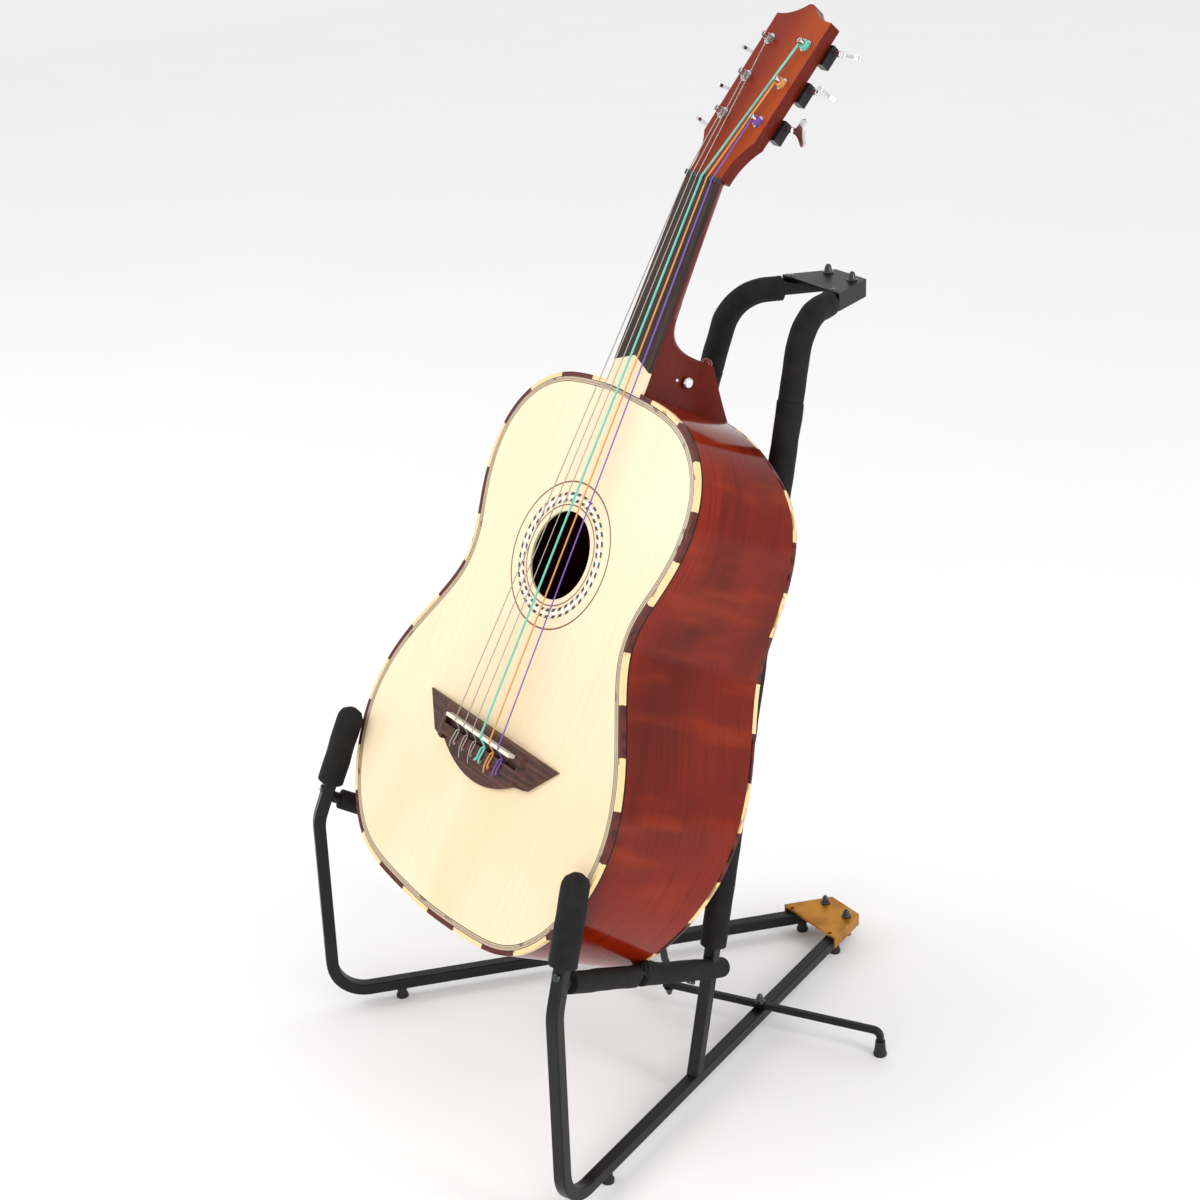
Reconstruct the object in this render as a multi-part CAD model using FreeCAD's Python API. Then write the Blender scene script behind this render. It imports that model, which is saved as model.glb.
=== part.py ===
"""Six-string bass guitar of the deep-bodied mariachi kind, leaning on its folding two-frame stand.

Millimetres, +Z up. The player's side of the instrument faces -Y and its bass side is -X.
The stand is drawn about its two rear hinges and the guitar about its soundhole; at the end
everything is moved so that the origin lies on the floor under the middle of the whole thing.
"""
import FreeCAD, Part
import math
import os

os.makedirs("parts", exist_ok=True)
Vec = FreeCAD.Vector
X_AXIS = Vec(1, 0, 0)
Y_AXIS = Vec(0, 1, 0)
Z_AXIS = Vec(0, 0, 1)

# ---------------------------------------------------------------- stand: driving dimensions
OPEN_ANGLE = 21.5          # each side frame's angle from straight ahead when open
HINGE_X = 21.5             # distance of each hinge from the middle
TUBE = 15.0                # square tube, outside
TUBE_WALL = 1.5
TUBE_CORNER = 2.0
RAIL_Z = 21.5              # middle of the lower rail
RAIL_TOP = RAIL_Z + TUBE / 2
RAIL_BOTTOM = RAIL_Z - TUBE / 2
FRONT_S = 654.0            # front upright, measured forward from the hinge
FRONT_BEND = 45.0
KNEE_Z = 272.0             # where the front upright starts to lean back
HOOK_TIP = (600.7, 418.0)  # end of the padded hook: forward distance, height
HOOK_PAD_RADIUS = 16.0
HOOK_PAD_LENGTH = 101.0
KNEE_RADIUS = 60.0
BACK_FOOT_S = 381.0        # back upright where it stands on the rail
BACK_SLOPE = 0.305         # how far it leans back per millimetre of height
TOP_TUBE_Z = 890.0
TOP_BEND = 55.0
TAIL = 6.5                 # tube behind each hinge
ARM_FRONT = (629.0, 298.7)
ARM_REAR = (329.0, 145.3)
ARM_RADIUS = 7.0
ARM_PAD_RADIUS = 12.4
SLEEVE_BOTTOM_Z = 180.0
SLEEVE_SEAM_Z = 798.0
SLEEVE_END_S = 58.0
LOWER_SLEEVE_RADIUS = 15.4
UPPER_SLEEVE_RADIUS = 14.8
PLATE_THICK = 3.5
BASE_PLATE_TOP = 36.0
TOP_PLATE_TOP = 903.0
FLANGE_GAP = 2.2
FLANGE_THICK = 2.0
PLATE_FRONT_S = 53.0
PLATE_REAR_Y = 17.0
DETENT_S = 45.6
BOLT_RADIUS = 3.0
HOLE_PLAY = 0.3
FOOT_S = (569.0, 32.0)
FOOT_RADIUS = 7.5
SPREADER_S = 227.0         # spreader pivots on the rails
SPREADER_LINK = 122.0      # pivot to centre joint
OUTRIGGER = 156.0          # right-hand pivot to the outrigger foot
BAR = 8.0
BAR_GAP = 0.3
LINK_THICK = 3.0

# ---------------------------------------------------------------- guitar: driving dimensions
LEAN = 27.7                # guitar leans back from upright
SOUNDHOLE_AT = Vec(0, -408.4, 657.9)
# half outline of the body, from the neck round to the tail: half width, distance up from the soundhole
HALF_OUTLINE = [
    (0, 203), (60, 200), (122, 186), (172, 143), (189, 86), (178, 16), (163.5, -45),
    (182, -99), (224, -171), (248, -257), (226, -346), (163, -413), (76, -432), (0, -436),
]
# depth of the keeled back on the centre line, at a few stations along the body
BACK_RIDGE = [(240, 132), (200, 153), (150, 201), (60, 233), (-50, 259), (-180, 269), (-310, 251), (-470, 205)]
BACK_SLOPE_OUT = 0.34      # the back rises this much per millimetre out from the ridge
TOP_THICK = 3.0
RIB_THICK = 3.0
BACK_THICK = 4.0
BINDING_WIDE = 5.0
BINDING_DEEP = 6.0
PURFLING_WIDE = 6.5
LINING_WIDE = 10.0
LINING_DEEP = 12.0
HOLE_RADIUS = 51.0
NECK_BODY_V = 203.0
NECK_HALF_BODY = 33.4
NECK_HALF_NUT = 28.0
NUT_V = 452.0
BOARD_LOW_V = 226.0
BOARD_PEAK_V = 239.0
BOARD_THICK = 5.0
HEAD_TILT = 14.8
HEAD_LENGTH = 227.0
HEAD_HALF = 47.0
HEAD_THICK = 16.0
POST_X = 31.5
POST_ROWS = (175.0, 125.0, 75.0)
POST_RADIUS = 3.3
WORM_OFFSET = 10.5
WORM_BEHIND = 6.5          # worm shaft behind the rear face of the headstock
BUTTON_X = 63.0            # where the button's stem meets its wings
SADDLE_V = -221.0
SADDLE_HALF = 66.0
SADDLE_TOP = 21.0
BRIDGE_BLOCK = 12.0
STRING_RADII = (0.75, 0.7, 0.65, 1.35, 1.0, 0.85)   # bass side first
STRING_STEP_SADDLE = 18.1
STRING_STEP_NUT = 9.0


# ---------------------------------------------------------------- small helpers
def rounded_path(points, radii):
    """Wire through points (Vectors) with the inner corners rounded by tangent arcs."""
    edges = []
    start = points[0]
    for i in range(1, len(points) - 1):
        before = (points[i - 1] - points[i]).normalize()
        after = (points[i + 1] - points[i]).normalize()
        half = before.getAngle(after) / 2
        reach = radii[i - 1] / math.tan(half)
        inwards = (before + after).normalize()
        centre = points[i] + inwards * (radii[i - 1] / math.sin(half))
        a = points[i] + before * reach
        b = points[i] + after * reach
        middle = centre - inwards * radii[i - 1]
        edges.append(Part.LineSegment(start, a).toShape())
        edges.append(Part.Arc(a, middle, b).toShape())
        start = b
    edges.append(Part.LineSegment(start, points[-1]).toShape())
    return Part.Wire(edges)


def start_placement(path):
    """Placement whose Z runs along the first edge of a path that lies in a plane y = constant."""
    edge = path.Edges[0]
    first = edge.FirstParameter
    return FreeCAD.Placement(edge.valueAt(first), FreeCAD.Rotation(Z_AXIS, edge.tangentAt(first)))


def square_wire(size, corner):
    h = size / 2
    pts = [Vec(h, h, 0), Vec(-h, h, 0), Vec(-h, -h, 0), Vec(h, -h, 0)]
    middle = Vec(0, h, 0)
    return rounded_path([middle] + pts[1:] + [pts[0], middle], [corner] * 4)


def sweep(profile, path):
    profile = profile.copy()
    profile.Placement = start_placement(path)
    return path.makePipeShell([profile], True, False)


def square_tube(path):
    outer = sweep(square_wire(TUBE, TUBE_CORNER), path)
    inner = sweep(square_wire(TUBE - 2 * TUBE_WALL, 0.8), path)
    return outer.cut(inner)


def solid_bar(path):
    return sweep(square_wire(TUBE, TUBE_CORNER), path)


def round_sweep(radius, path):
    return sweep(Part.Wire(Part.makeCircle(radius)), path)


def s_point(s, z, t=0.0):
    return Vec(s, t, z)


def prism(points, bottom, height):
    """Straight-sided solid over an xy polygon."""
    pts = [Vec(x, y, bottom) for x, y in points]
    face = Part.Face(Part.makePolygon(pts + pts[:1]))
    return face.extrude(Vec(0, 0, height))


def cone_nut(at, down=False):
    """Black cap nut: a washer collar, a tapering body and a rounded crown."""
    profile = [(0, 0), (6.6, 0), (6.6, 1.6), (5.2, 2.4), (3.6, 8.6), (2.2, 10.6), (0, 11.4)]
    pts = [Vec(r, 0, z) for r, z in profile]
    nut = Part.Face(Part.makePolygon(pts + pts[:1])).revolve(Vec(), Z_AXIS, 360)
    if down:
        nut.rotate(Vec(), X_AXIS, 180)
    nut.translate(at)
    return nut


def revolved(profile, at):
    pts = [Vec(r, 0, z) for r, z in profile]
    body = Part.Face(Part.makePolygon(pts + pts[:1])).revolve(Vec(), Z_AXIS, 360)
    body.translate(at)
    return body


RIGHT = FreeCAD.Placement(Vec(HINGE_X, 0, 0), FreeCAD.Rotation(Z_AXIS, OPEN_ANGLE - 90))


def on_right(shape):
    moved = shape.copy()
    moved.Placement = RIGHT.multiply(moved.Placement)
    return moved


def mirrored(shape):
    return shape.mirror(Vec(), X_AXIS)


nodes = {}


def both_sides(name, shape):
    """The same piece on both side frames, given in one frame's own s, t, z."""
    right = on_right(shape)
    nodes[name + "_right"] = right
    nodes[name + "_left"] = mirrored(right)


# ---------------------------------------------------------------- side frames
hook_way = Vec(HOOK_TIP[0] - FRONT_S, 0, HOOK_TIP[1] - KNEE_Z).normalize()
hook_tip = s_point(*HOOK_TIP)
tube_end = hook_tip - hook_way * 8
pad_start = hook_tip - hook_way * HOOK_PAD_LENGTH

main_path = rounded_path(
    [s_point(-TAIL, RAIL_Z), s_point(FRONT_S, RAIL_Z), s_point(FRONT_S, KNEE_Z), tube_end],
    [FRONT_BEND, KNEE_RADIUS],
)
main_solid = solid_bar(main_path)

back_corner_s = BACK_FOOT_S - BACK_SLOPE * (TOP_TUBE_Z - RAIL_TOP)
back_way = Vec(-BACK_SLOPE, 0, 1).normalize()
back_low = s_point(BACK_FOOT_S, RAIL_TOP) - back_way * 12
back_path = rounded_path(
    [back_low, s_point(back_corner_s, TOP_TUBE_Z), s_point(-TAIL, TOP_TUBE_Z)], [TOP_BEND]
)
above_rail = Part.makeBox(600, 60, 1000, Vec(-60, -30, RAIL_TOP))
back_solid = solid_bar(back_path).common(above_rail)

arm_front = s_point(*ARM_FRONT)
arm_rear = s_point(*ARM_REAR)
arm_way = (arm_rear - arm_front).normalize()
arm_inner = arm_front - arm_way * 18
arm_length = (arm_rear - arm_inner).Length

pivot_hole = Part.makeCylinder(BOLT_RADIUS + HOLE_PLAY, 60, Vec(0, 0, -10))
top_pivot_hole = Part.makeCylinder(BOLT_RADIUS + HOLE_PLAY, 60, Vec(0, 0, TOP_TUBE_Z - 30))
spreader_hole = Part.makeCylinder(2.6, 12, Vec(SPREADER_S, 0, RAIL_TOP - 8))
both_sides("main_tube", square_tube(main_path).cut(pivot_hole).cut(spreader_hole))
both_sides("back_upright", square_tube(back_path).common(above_rail).cut(top_pivot_hole))

arm_tube = Part.makeCylinder(ARM_RADIUS, arm_length, arm_inner, arm_way)
arm_bore = Part.makeCylinder(ARM_RADIUS - TUBE_WALL, arm_length, arm_inner, arm_way)
both_sides("rest_arm", arm_tube.cut(arm_bore).cut(main_solid).cut(back_solid).Solids[0])

# bolt through the lower side of the arm, just in front of the back upright
bolt_s = 379.0
bolt_at = arm_front + arm_way * ((arm_front.x - bolt_s) / -arm_way.x)
bolt_down = Vec(arm_way.z, 0, -arm_way.x).normalize()
if bolt_down.z > 0:
    bolt_down = -bolt_down
bolt_head = Part.makeCylinder(5.2, 3.4, bolt_at + bolt_down * ARM_PAD_RADIUS, bolt_down)
bolt_shank = Part.makeCylinder(2.5, ARM_PAD_RADIUS - ARM_RADIUS, bolt_at + bolt_down * ARM_RADIUS, bolt_down)
arm_bolt = bolt_head.fuse(bolt_shank).removeSplitter()

# pan-head screw through the front of the hook tube into the arm
screw_at = s_point(FRONT_S, KNEE_Z) + hook_way * 43
screw_out = Vec(hook_way.z, 0, -hook_way.x)
arm_screw = Part.makeCylinder(4.6, 2.6, screw_at + screw_out * (TUBE / 2), screw_out)
arm_screw = arm_screw.makeFillet(1.6, [arm_screw.Edges[0] if arm_screw.Edges[0].Length > 20 else arm_screw.Edges[2]])

# foam: hook pads with a rounded end, rest-arm sleeves, and the two sleeves of each back upright
pad_body = Part.makeCylinder(HOOK_PAD_RADIUS, HOOK_PAD_LENGTH - HOOK_PAD_RADIUS, pad_start, hook_way)
pad_dome = Part.makeSphere(HOOK_PAD_RADIUS, hook_tip - hook_way * HOOK_PAD_RADIUS)
both_sides("hook_pad", pad_body.fuse(pad_dome).removeSplitter().cut(main_solid))

pad_start_at = arm_front - arm_way * 3
arm_pad = Part.makeCylinder(ARM_PAD_RADIUS, arm_length - 15, pad_start_at, arm_way)
arm_core = Part.makeCylinder(ARM_RADIUS, arm_length + 40, arm_inner, arm_way)
back_straight = Part.Wire([Part.makeLine(back_low, back_low + back_way * 260)])
shank_hole = Part.makeCylinder(2.7, 14, bolt_at + bolt_down * 3, bolt_down)
arm_pad = arm_pad.cut(arm_core).cut(solid_bar(back_straight)).cut(shank_hole)
both_sides("arm_pad", max(arm_pad.Solids, key=lambda part: part.Volume))


def on_back_line(z):
    return s_point(BACK_FOOT_S - BACK_SLOPE * (z - RAIL_TOP), z)


lower_path = Part.Wire([Part.LineSegment(on_back_line(SLEEVE_BOTTOM_Z), on_back_line(SLEEVE_SEAM_Z)).toShape()])
upper_path = rounded_path(
    [on_back_line(SLEEVE_SEAM_Z), s_point(back_corner_s, TOP_TUBE_Z), s_point(SLEEVE_END_S, TOP_TUBE_Z)],
    [TOP_BEND],
)
lower_sleeve = round_sweep(LOWER_SLEEVE_RADIUS, lower_path).cut(back_solid)
upper_sleeve = round_sweep(UPPER_SLEEVE_RADIUS, upper_path).cut(back_solid)
both_sides("back_sleeves", Part.makeCompound([lower_sleeve, upper_sleeve]))

# rubber feet under each rail: a plug with a slightly wider sole
foot_profile = [(0, 0), (FOOT_RADIUS, 0), (FOOT_RADIUS, 4), (6.2, 5.5), (5.6, RAIL_BOTTOM), (0, RAIL_BOTTOM)]
feet = [revolved(foot_profile, Vec(s, 0, 0)) for s in FOOT_S]
both_sides("rail_feet", Part.makeCompound(feet))

# spring balls that snap into the plate's small holes when the stand is open
ball_height = BASE_PLATE_TOP - PLATE_THICK - RAIL_TOP - 0.3
ball = revolved([(0, 0), (2.4, 0), (2.2, ball_height * 0.7), (1.2, ball_height), (0, ball_height)],
                Vec(DETENT_S, 0, RAIL_TOP))

def stud_on_rail(at, top):
    """Bolt standing on a rail with a cap nut on the end, for the spreader to turn on."""
    bolt = Part.makeCylinder(2.5, top - RAIL_TOP + 1.5, Vec(at.x, at.y, RAIL_TOP - 1.5))
    return bolt.fuse(cone_nut(Vec(at.x, at.y, top))).removeSplitter()


spreader_spot = Vec(SPREADER_S, 0, 0)
bar_stud = stud_on_rail(spreader_spot, RAIL_TOP + BAR_GAP + BAR + 0.3)
link_stud = stud_on_rail(spreader_spot, RAIL_TOP + BAR_GAP + LINK_THICK + 0.3)
nodes["fixings_right"] = on_right(Part.makeCompound([arm_bolt, arm_screw, ball, bar_stud]))
nodes["fixings_left"] = mirrored(on_right(Part.makeCompound([arm_bolt, arm_screw, ball, link_stud])))


# ---------------------------------------------------------------- hinge plates
def hinge_plate(top_z, flange_bottom_z):
    """Bent plate over both hinges: the side flanges stop the frames at their open angle."""
    out = TUBE / 2 + FLANGE_GAP + FLANGE_THICK
    flange_in = TUBE / 2 + FLANGE_GAP

    def corner(s, t):
        p = RIGHT.multVec(Vec(s, t, 0))
        return (p.x, p.y)

    front_out = corner(PLATE_FRONT_S, out)
    front_in = corner(PLATE_FRONT_S, flange_in)
    slope = (corner(0, out)[0] - front_out[0]) / (corner(0, out)[1] - front_out[1])
    rear_out = (front_out[0] + slope * (PLATE_REAR_Y - front_out[1]), PLATE_REAR_Y)
    rear_in = (rear_out[0] - (front_out[0] - front_in[0]), PLATE_REAR_Y)
    plan = [front_out, rear_out, (-rear_out[0], rear_out[1]), (-front_out[0], front_out[1])]
    sheet = prism(plan, top_z - PLATE_THICK, PLATE_THICK)
    side = prism([front_in, front_out, rear_out, rear_in], flange_bottom_z, top_z - flange_bottom_z)
    rear = Part.makeBox(2 * rear_out[0], FLANGE_THICK, top_z - flange_bottom_z,
                        Vec(-rear_out[0], PLATE_REAR_Y - FLANGE_THICK, flange_bottom_z))
    rear = rear.common(prism(plan, flange_bottom_z, top_z - flange_bottom_z))
    plate = sheet.fuse([side, mirrored(side), rear]).removeSplitter()
    for side_x in (1, -1):
        plate = plate.cut(Part.makeCylinder(BOLT_RADIUS, 40, Vec(side_x * HINGE_X, 0, top_z - 20)))
        hole = RIGHT.multVec(Vec(DETENT_S, 0, 0))
        plate = plate.cut(Part.makeCylinder(2.6, 40, Vec(side_x * hole.x, hole.y, top_z - 20)))
    return plate


nodes["base_plate"] = hinge_plate(BASE_PLATE_TOP, 20.0)
nodes["top_plate"] = hinge_plate(TOP_PLATE_TOP, 881.5)


def pivot_bolt(side_x, tube_low, tube_top, plate_top):
    """Round head under the tube, shank up through tube and plate, and a thin washer between them."""
    axis = Vec(side_x * HINGE_X, 0, 0)
    head = Part.makeCylinder(6.8, 4.0, axis + Vec(0, 0, tube_low - 4.3))
    shank = Part.makeCylinder(BOLT_RADIUS, plate_top - tube_low + 0.3, axis + Vec(0, 0, tube_low - 0.3))
    washer_z = tube_top + 0.3
    washer = Part.makeCylinder(7.0, plate_top - PLATE_THICK - washer_z, axis + Vec(0, 0, washer_z))
    return head.fuse([shank, washer]).removeSplitter()


hinge_fixings = {}
for label, low, high, plate_top in (
    ("base", RAIL_BOTTOM, RAIL_TOP, BASE_PLATE_TOP),
    ("top", TOP_TUBE_Z - TUBE / 2, TOP_TUBE_Z + TUBE / 2, TOP_PLATE_TOP),
):
    bolts = [pivot_bolt(side_x, low, high, plate_top) for side_x in (1, -1)]
    caps = [cone_nut(Vec(side_x * HINGE_X, 0, plate_top)) for side_x in (1, -1)]
    hinge_fixings[label] = bolts + caps

screw_spot = RIGHT.multVec(Vec(DETENT_S, 0, 0))
plate_screws = []
for side_x in (1, -1):
    at = Vec(side_x * screw_spot.x, screw_spot.y, TOP_PLATE_TOP)
    head = revolved([(0, 0), (4.2, 0), (3.9, 1.2), (2.4, 2.2), (0, 2.5)], at)
    stem = Part.makeCylinder(2.6, PLATE_THICK, at - Vec(0, 0, PLATE_THICK))
    plate_screws.append(head.fuse(stem).removeSplitter())
nodes["base_pivots"] = Part.makeCompound(hinge_fixings["base"])
nodes["top_pivots"] = Part.makeCompound(hinge_fixings["top"] + plate_screws)

# ---------------------------------------------------------------- spreader and outrigger
pivot_right = RIGHT.multVec(Vec(SPREADER_S, 0, 0))
centre_joint = Vec(0, pivot_right.y - math.sqrt(SPREADER_LINK ** 2 - pivot_right.x ** 2), 0)
bar_way = (pivot_right - centre_joint).normalize()
bar_angle = math.degrees(math.atan2(bar_way.y, bar_way.x))
bar_place = FreeCAD.Placement(centre_joint, FreeCAD.Rotation(Z_AXIS, bar_angle))
bar_bottom = RAIL_TOP + BAR_GAP
bar_mid = bar_bottom + BAR / 2
bar_top = bar_bottom + BAR
reach = SPREADER_LINK + OUTRIGGER

bar_path = rounded_path([Vec(-7, 0, bar_mid), Vec(reach, 0, bar_mid), Vec(reach, 0, 12)], [9.0])
bar = sweep(square_wire(BAR, 1.4), bar_path)
bar = bar.cut(Part.makeCylinder(2.5, 30, Vec(0, 0, bar_mid - 15)))
bar = bar.cut(Part.makeCylinder(2.8, 30, Vec(SPREADER_LINK, 0, bar_mid - 15)))
bar.Placement = bar_place.multiply(bar.Placement)
nodes["stabiliser_bar"] = bar

foot = revolved([(0, 0), (8.2, 0), (8.2, 3), (7.2, 4.5), (5.9, 20), (0, 20)], Vec(reach, 0, 0))
foot = foot.cut(Part.makeBox(BAR, BAR, 40, Vec(reach - BAR / 2, -BAR / 2, 12)))
foot.Placement = bar_place.multiply(foot.Placement)
nodes["stabiliser_foot"] = foot

bar_bolt = Part.makeCylinder(2.5, BAR, centre_joint + Vec(0, 0, bar_bottom))
nodes["spreader_bolt"] = bar_bolt.fuse(cone_nut(centre_joint + Vec(0, 0, bar_bottom), down=True)).removeSplitter()

# link from the left rail: low at the rail, stepped up so that it lies on top of the bar
link_low = RAIL_TOP + BAR_GAP
link_high = bar_top + 0.4
link_side = [
    (-8, link_low), (62, link_low), (78, link_high), (SPREADER_LINK + 6, link_high),
    (SPREADER_LINK + 6, link_high + LINK_THICK), (77, link_high + LINK_THICK),
    (61, link_low + LINK_THICK), (-8, link_low + LINK_THICK),
]
link_pts = [Vec(x, -4.5, z) for x, z in link_side]
link = Part.Face(Part.makePolygon(link_pts + link_pts[:1])).extrude(Vec(0, 9, 0))
link = link.cut(Part.makeCylinder(2.8, 20, Vec(0, 0, link_low - 5)))
link = link.cut(Part.makeCylinder(2.5, 20, Vec(SPREADER_LINK, 0, link_high - 5)))
link_place = FreeCAD.Placement(
    Vec(-pivot_right.x, pivot_right.y, 0), FreeCAD.Rotation(Z_AXIS, -bar_angle)
)
link.Placement = link_place.multiply(link.Placement)
nodes["spreader_link"] = link
rivet = revolved([(0, -LINK_THICK), (2.5, -LINK_THICK), (2.5, 0), (5, 0), (4.4, 2), (2.4, 3), (0, 3.2)],
                 centre_joint + Vec(0, 0, link_high + LINK_THICK))
nodes["spreader_rivet"] = rivet

# ---------------------------------------------------------------- guitar body
GUITAR = FreeCAD.Placement(SOUNDHOLE_AT, FreeCAD.Rotation(X_AXIS, 90 - LEAN))


def guitar(name, shape):
    """Store a piece drawn in the guitar's own axes: x across, y up the neck, z out of the soundboard."""
    moved = shape.copy()
    moved.Placement = GUITAR.multiply(moved.Placement)
    nodes[name] = moved


def outline_curve():
    right = [Vec(x, y, 0) for x, y in HALF_OUTLINE]
    left = [Vec(-x, y, 0) for x, y in reversed(HALF_OUTLINE[1:-1])]
    curve = Part.BSplineCurve()
    curve.interpolate(right + left, PeriodicFlag=True)
    return curve


MASTER = outline_curve()
OUTLINE_SAMPLES = 48


def outline_face(inset=0.0):
    """Face inside the body outline, or inside a line running a given distance in from it."""
    if inset == 0:
        return Part.Face(Part.Wire(MASTER.toShape()))
    first, last = MASTER.FirstParameter, MASTER.LastParameter
    pts = []
    for i in range(OUTLINE_SAMPLES):
        u = first + (last - first) * i / OUTLINE_SAMPLES
        along = MASTER.tangent(u)[0]
        pts.append(MASTER.value(u) + Vec(along.y, -along.x, 0) * inset)
    curve = Part.BSplineCurve()
    curve.interpolate(pts, PeriodicFlag=True)
    return Part.Face(Part.Wire(curve.toShape()))


def slab(inset, top, bottom):
    """Body-shaped slab between two heights below the soundboard's face."""
    face = outline_face(inset)
    face.translate(Vec(0, 0, bottom))
    return face.extrude(Vec(0, 0, top - bottom))


DEEP = 330.0


def behind_back(offset):
    """Everything behind the keeled back, with that surface moved forward by an offset."""
    pts = [Vec(0, y, -depth + offset) for y, depth in BACK_RIDGE]
    curve = Part.BSplineCurve()
    curve.interpolate(pts)
    low, high = pts[-1].y, pts[0].y
    far = -DEEP - 200
    edges = [curve.toShape(), Part.makeLine(pts[-1], Vec(0, low, far)),
             Part.makeLine(Vec(0, low, far), Vec(0, high, far)), Part.makeLine(Vec(0, high, far), pts[0])]
    face = Part.Face(Part.Wire(edges))
    reach_out = 300
    right = face.extrude(Vec(reach_out, 0, reach_out * BACK_SLOPE_OUT))
    return right, mirrored(right)


def in_back_layer(solid, offset):
    """The part of a solid that lies within the offset of the back's outer surface."""
    right, left = behind_back(offset)
    return solid.common(right).fuse(solid.common(left)).removeSplitter()


def off_back(solid, offset):
    right, left = behind_back(offset)
    return solid.cut(right).cut(left)


def ring(inset_out, inset_in, top, bottom):
    return slab(inset_out, top, bottom).cut(slab(inset_in, top, bottom))


sound_hole = Part.makeCylinder(HOLE_RADIUS, 20, Vec(0, 0, -10))
ROSETTE = ((83.7, 85.7), (61.3, 72.6), (57.2, 58.8))
INLAY = 1.2


def inlay_ring(r_in, r_out):
    ring_solid = Part.makeCylinder(r_out, INLAY, Vec(0, 0, -INLAY))
    return ring_solid.cut(Part.makeCylinder(r_in, INLAY, Vec(0, 0, -INLAY)))


purfling_in = BINDING_WIDE + PURFLING_WIDE
soundboard = slab(BINDING_WIDE, 0, -TOP_THICK).cut(sound_hole)
soundboard = soundboard.cut(ring(BINDING_WIDE - 1, purfling_in, 1, -INLAY))
for r_in, r_out in ROSETTE:
    soundboard = soundboard.cut(inlay_ring(r_in, r_out))
guitar("rosette", Part.makeCompound([inlay_ring(*radii) for radii in ROSETTE]))
guitar("soundboard", soundboard)
guitar("top_purfling", ring(BINDING_WIDE, purfling_in, 0, -INLAY))
binding_ring = ring(0, BINDING_WIDE, 0, -BINDING_DEEP)

rib_shell = ring(0, RIB_THICK, -BINDING_DEEP, -DEEP)
guitar("ribs", off_back(rib_shell, BINDING_DEEP))
edge_ring = off_back(ring(0, BINDING_WIDE, -100, -DEEP), 0)
guitar("back_binding", in_back_layer(edge_ring, BINDING_DEEP))

ridge_half = 5.0
back_field = off_back(slab(BINDING_WIDE, -100, -DEEP), 0)
back_whole = in_back_layer(back_field, BACK_THICK)
right_side = Part.makeBox(400, 1200, 600, Vec(ridge_half, -700, -500))
back_halves = [back_whole.common(side_box) for side_box in (right_side, mirrored(right_side))]
guitar("back", Part.makeCompound(back_halves))
ridge_box = Part.makeBox(2 * ridge_half, 1200, 600, Vec(-ridge_half, -700, -500))
guitar("back_ridge", back_whole.common(ridge_box))

# linings glued inside the ribs, front and back
front_lining = ring(RIB_THICK, LINING_WIDE, -TOP_THICK, -TOP_THICK - LINING_DEEP)
front_lining = front_lining.cut(ring(0, BINDING_WIDE, 0, -BINDING_DEEP))
lining_shell = off_back(ring(RIB_THICK, LINING_WIDE, -60, -DEEP), BINDING_DEEP)
back_lining = in_back_layer(lining_shell, BINDING_DEEP + LINING_DEEP)

# blocks at the neck and the tail, standing between soundboard and back, inside the linings
def block(half_width, y_low, y_high):
    box = Part.makeBox(2 * half_width, y_high - y_low, 400, Vec(-half_width, y_low, -400 - TOP_THICK))
    inside = slab(LINING_WIDE, 0, -DEEP)
    return off_back(box.common(inside), BACK_THICK)


end_blocks = [block(38, 150, 260), block(34, -480, -404)]
guitar("linings_and_blocks", Part.makeCompound([front_lining, back_lining] + end_blocks))

# cross bars under the soundboard, on both sides of the soundhole and below the bridge
braces = []
for y, height in ((104.0, 18.0), (-72.0, 16.0), (-170.0, 10.0), (-330.0, 9.0)):
    bar_box = Part.makeBox(600, 9, height, Vec(-300, y - 4.5, -TOP_THICK - height))
    braces.append(bar_box.common(slab(LINING_WIDE + 1, 0, -60)))
guitar("top_braces", Part.makeCompound(braces))

# ---------------------------------------------------------------- neck
def neck_half(y):
    share = (y - NECK_BODY_V) / (NUT_V - NECK_BODY_V)
    return NECK_HALF_BODY + (NECK_HALF_NUT - NECK_HALF_BODY) * share


def neck_section(y, depth):
    """Half-round section across the neck at a station, under the fingerboard."""
    half = neck_half(y)
    a, b = Vec(-half, y, -BOARD_THICK), Vec(half, y, -BOARD_THICK)
    curve = Part.BSplineCurve()
    curve.interpolate([a, Vec(-0.80 * half, y, -0.62 * depth), Vec(0, y, -depth), Vec(0.80 * half, y, -0.62 * depth), b])
    return Part.Wire([curve.toShape(), Part.makeLine(b, a)])


HEEL_TOP_V = 292.0
shaft = Part.makeLoft([neck_section(NUT_V, 23.5), neck_section(370, 24.5), neck_section(HEEL_TOP_V, 27)], True)

# heel: seen from the side it sweeps down from the shaft to the rear of the body; from above it narrows
heel_edge = [Vec(0, y, -depth) for y, depth in (
    (318, 19), (300, 21.3), (285, 22.8), (274.5, 27), (265.5, 37.5), (259.8, 53), (257.8, 74), (256.5, 100))]
sweep_curve = Part.BSplineCurve()
sweep_curve.interpolate(heel_edge)
heel_outline = [
    heel_edge[-1], Vec(0, 201, -148), Vec(0, 185, -148), Vec(0, 185, -BOARD_THICK), Vec(0, 318, -BOARD_THICK),
    heel_edge[0]]
heel_face = Part.Face(Part.Wire([sweep_curve.toShape()] + [
    Part.makeLine(a, b) for a, b in zip(heel_outline[:-1], heel_outline[1:])]))
heel_face.translate(Vec(-28, 0, 0))
heel_block = heel_face.extrude(Vec(56, 0, 0))
sweeps = [edge for edge in heel_block.Edges if "BSpline" in edge.Curve.TypeId]
heel_block = heel_block.makeFillet(12, sweeps)
heel_half_rear = 12.0
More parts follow.
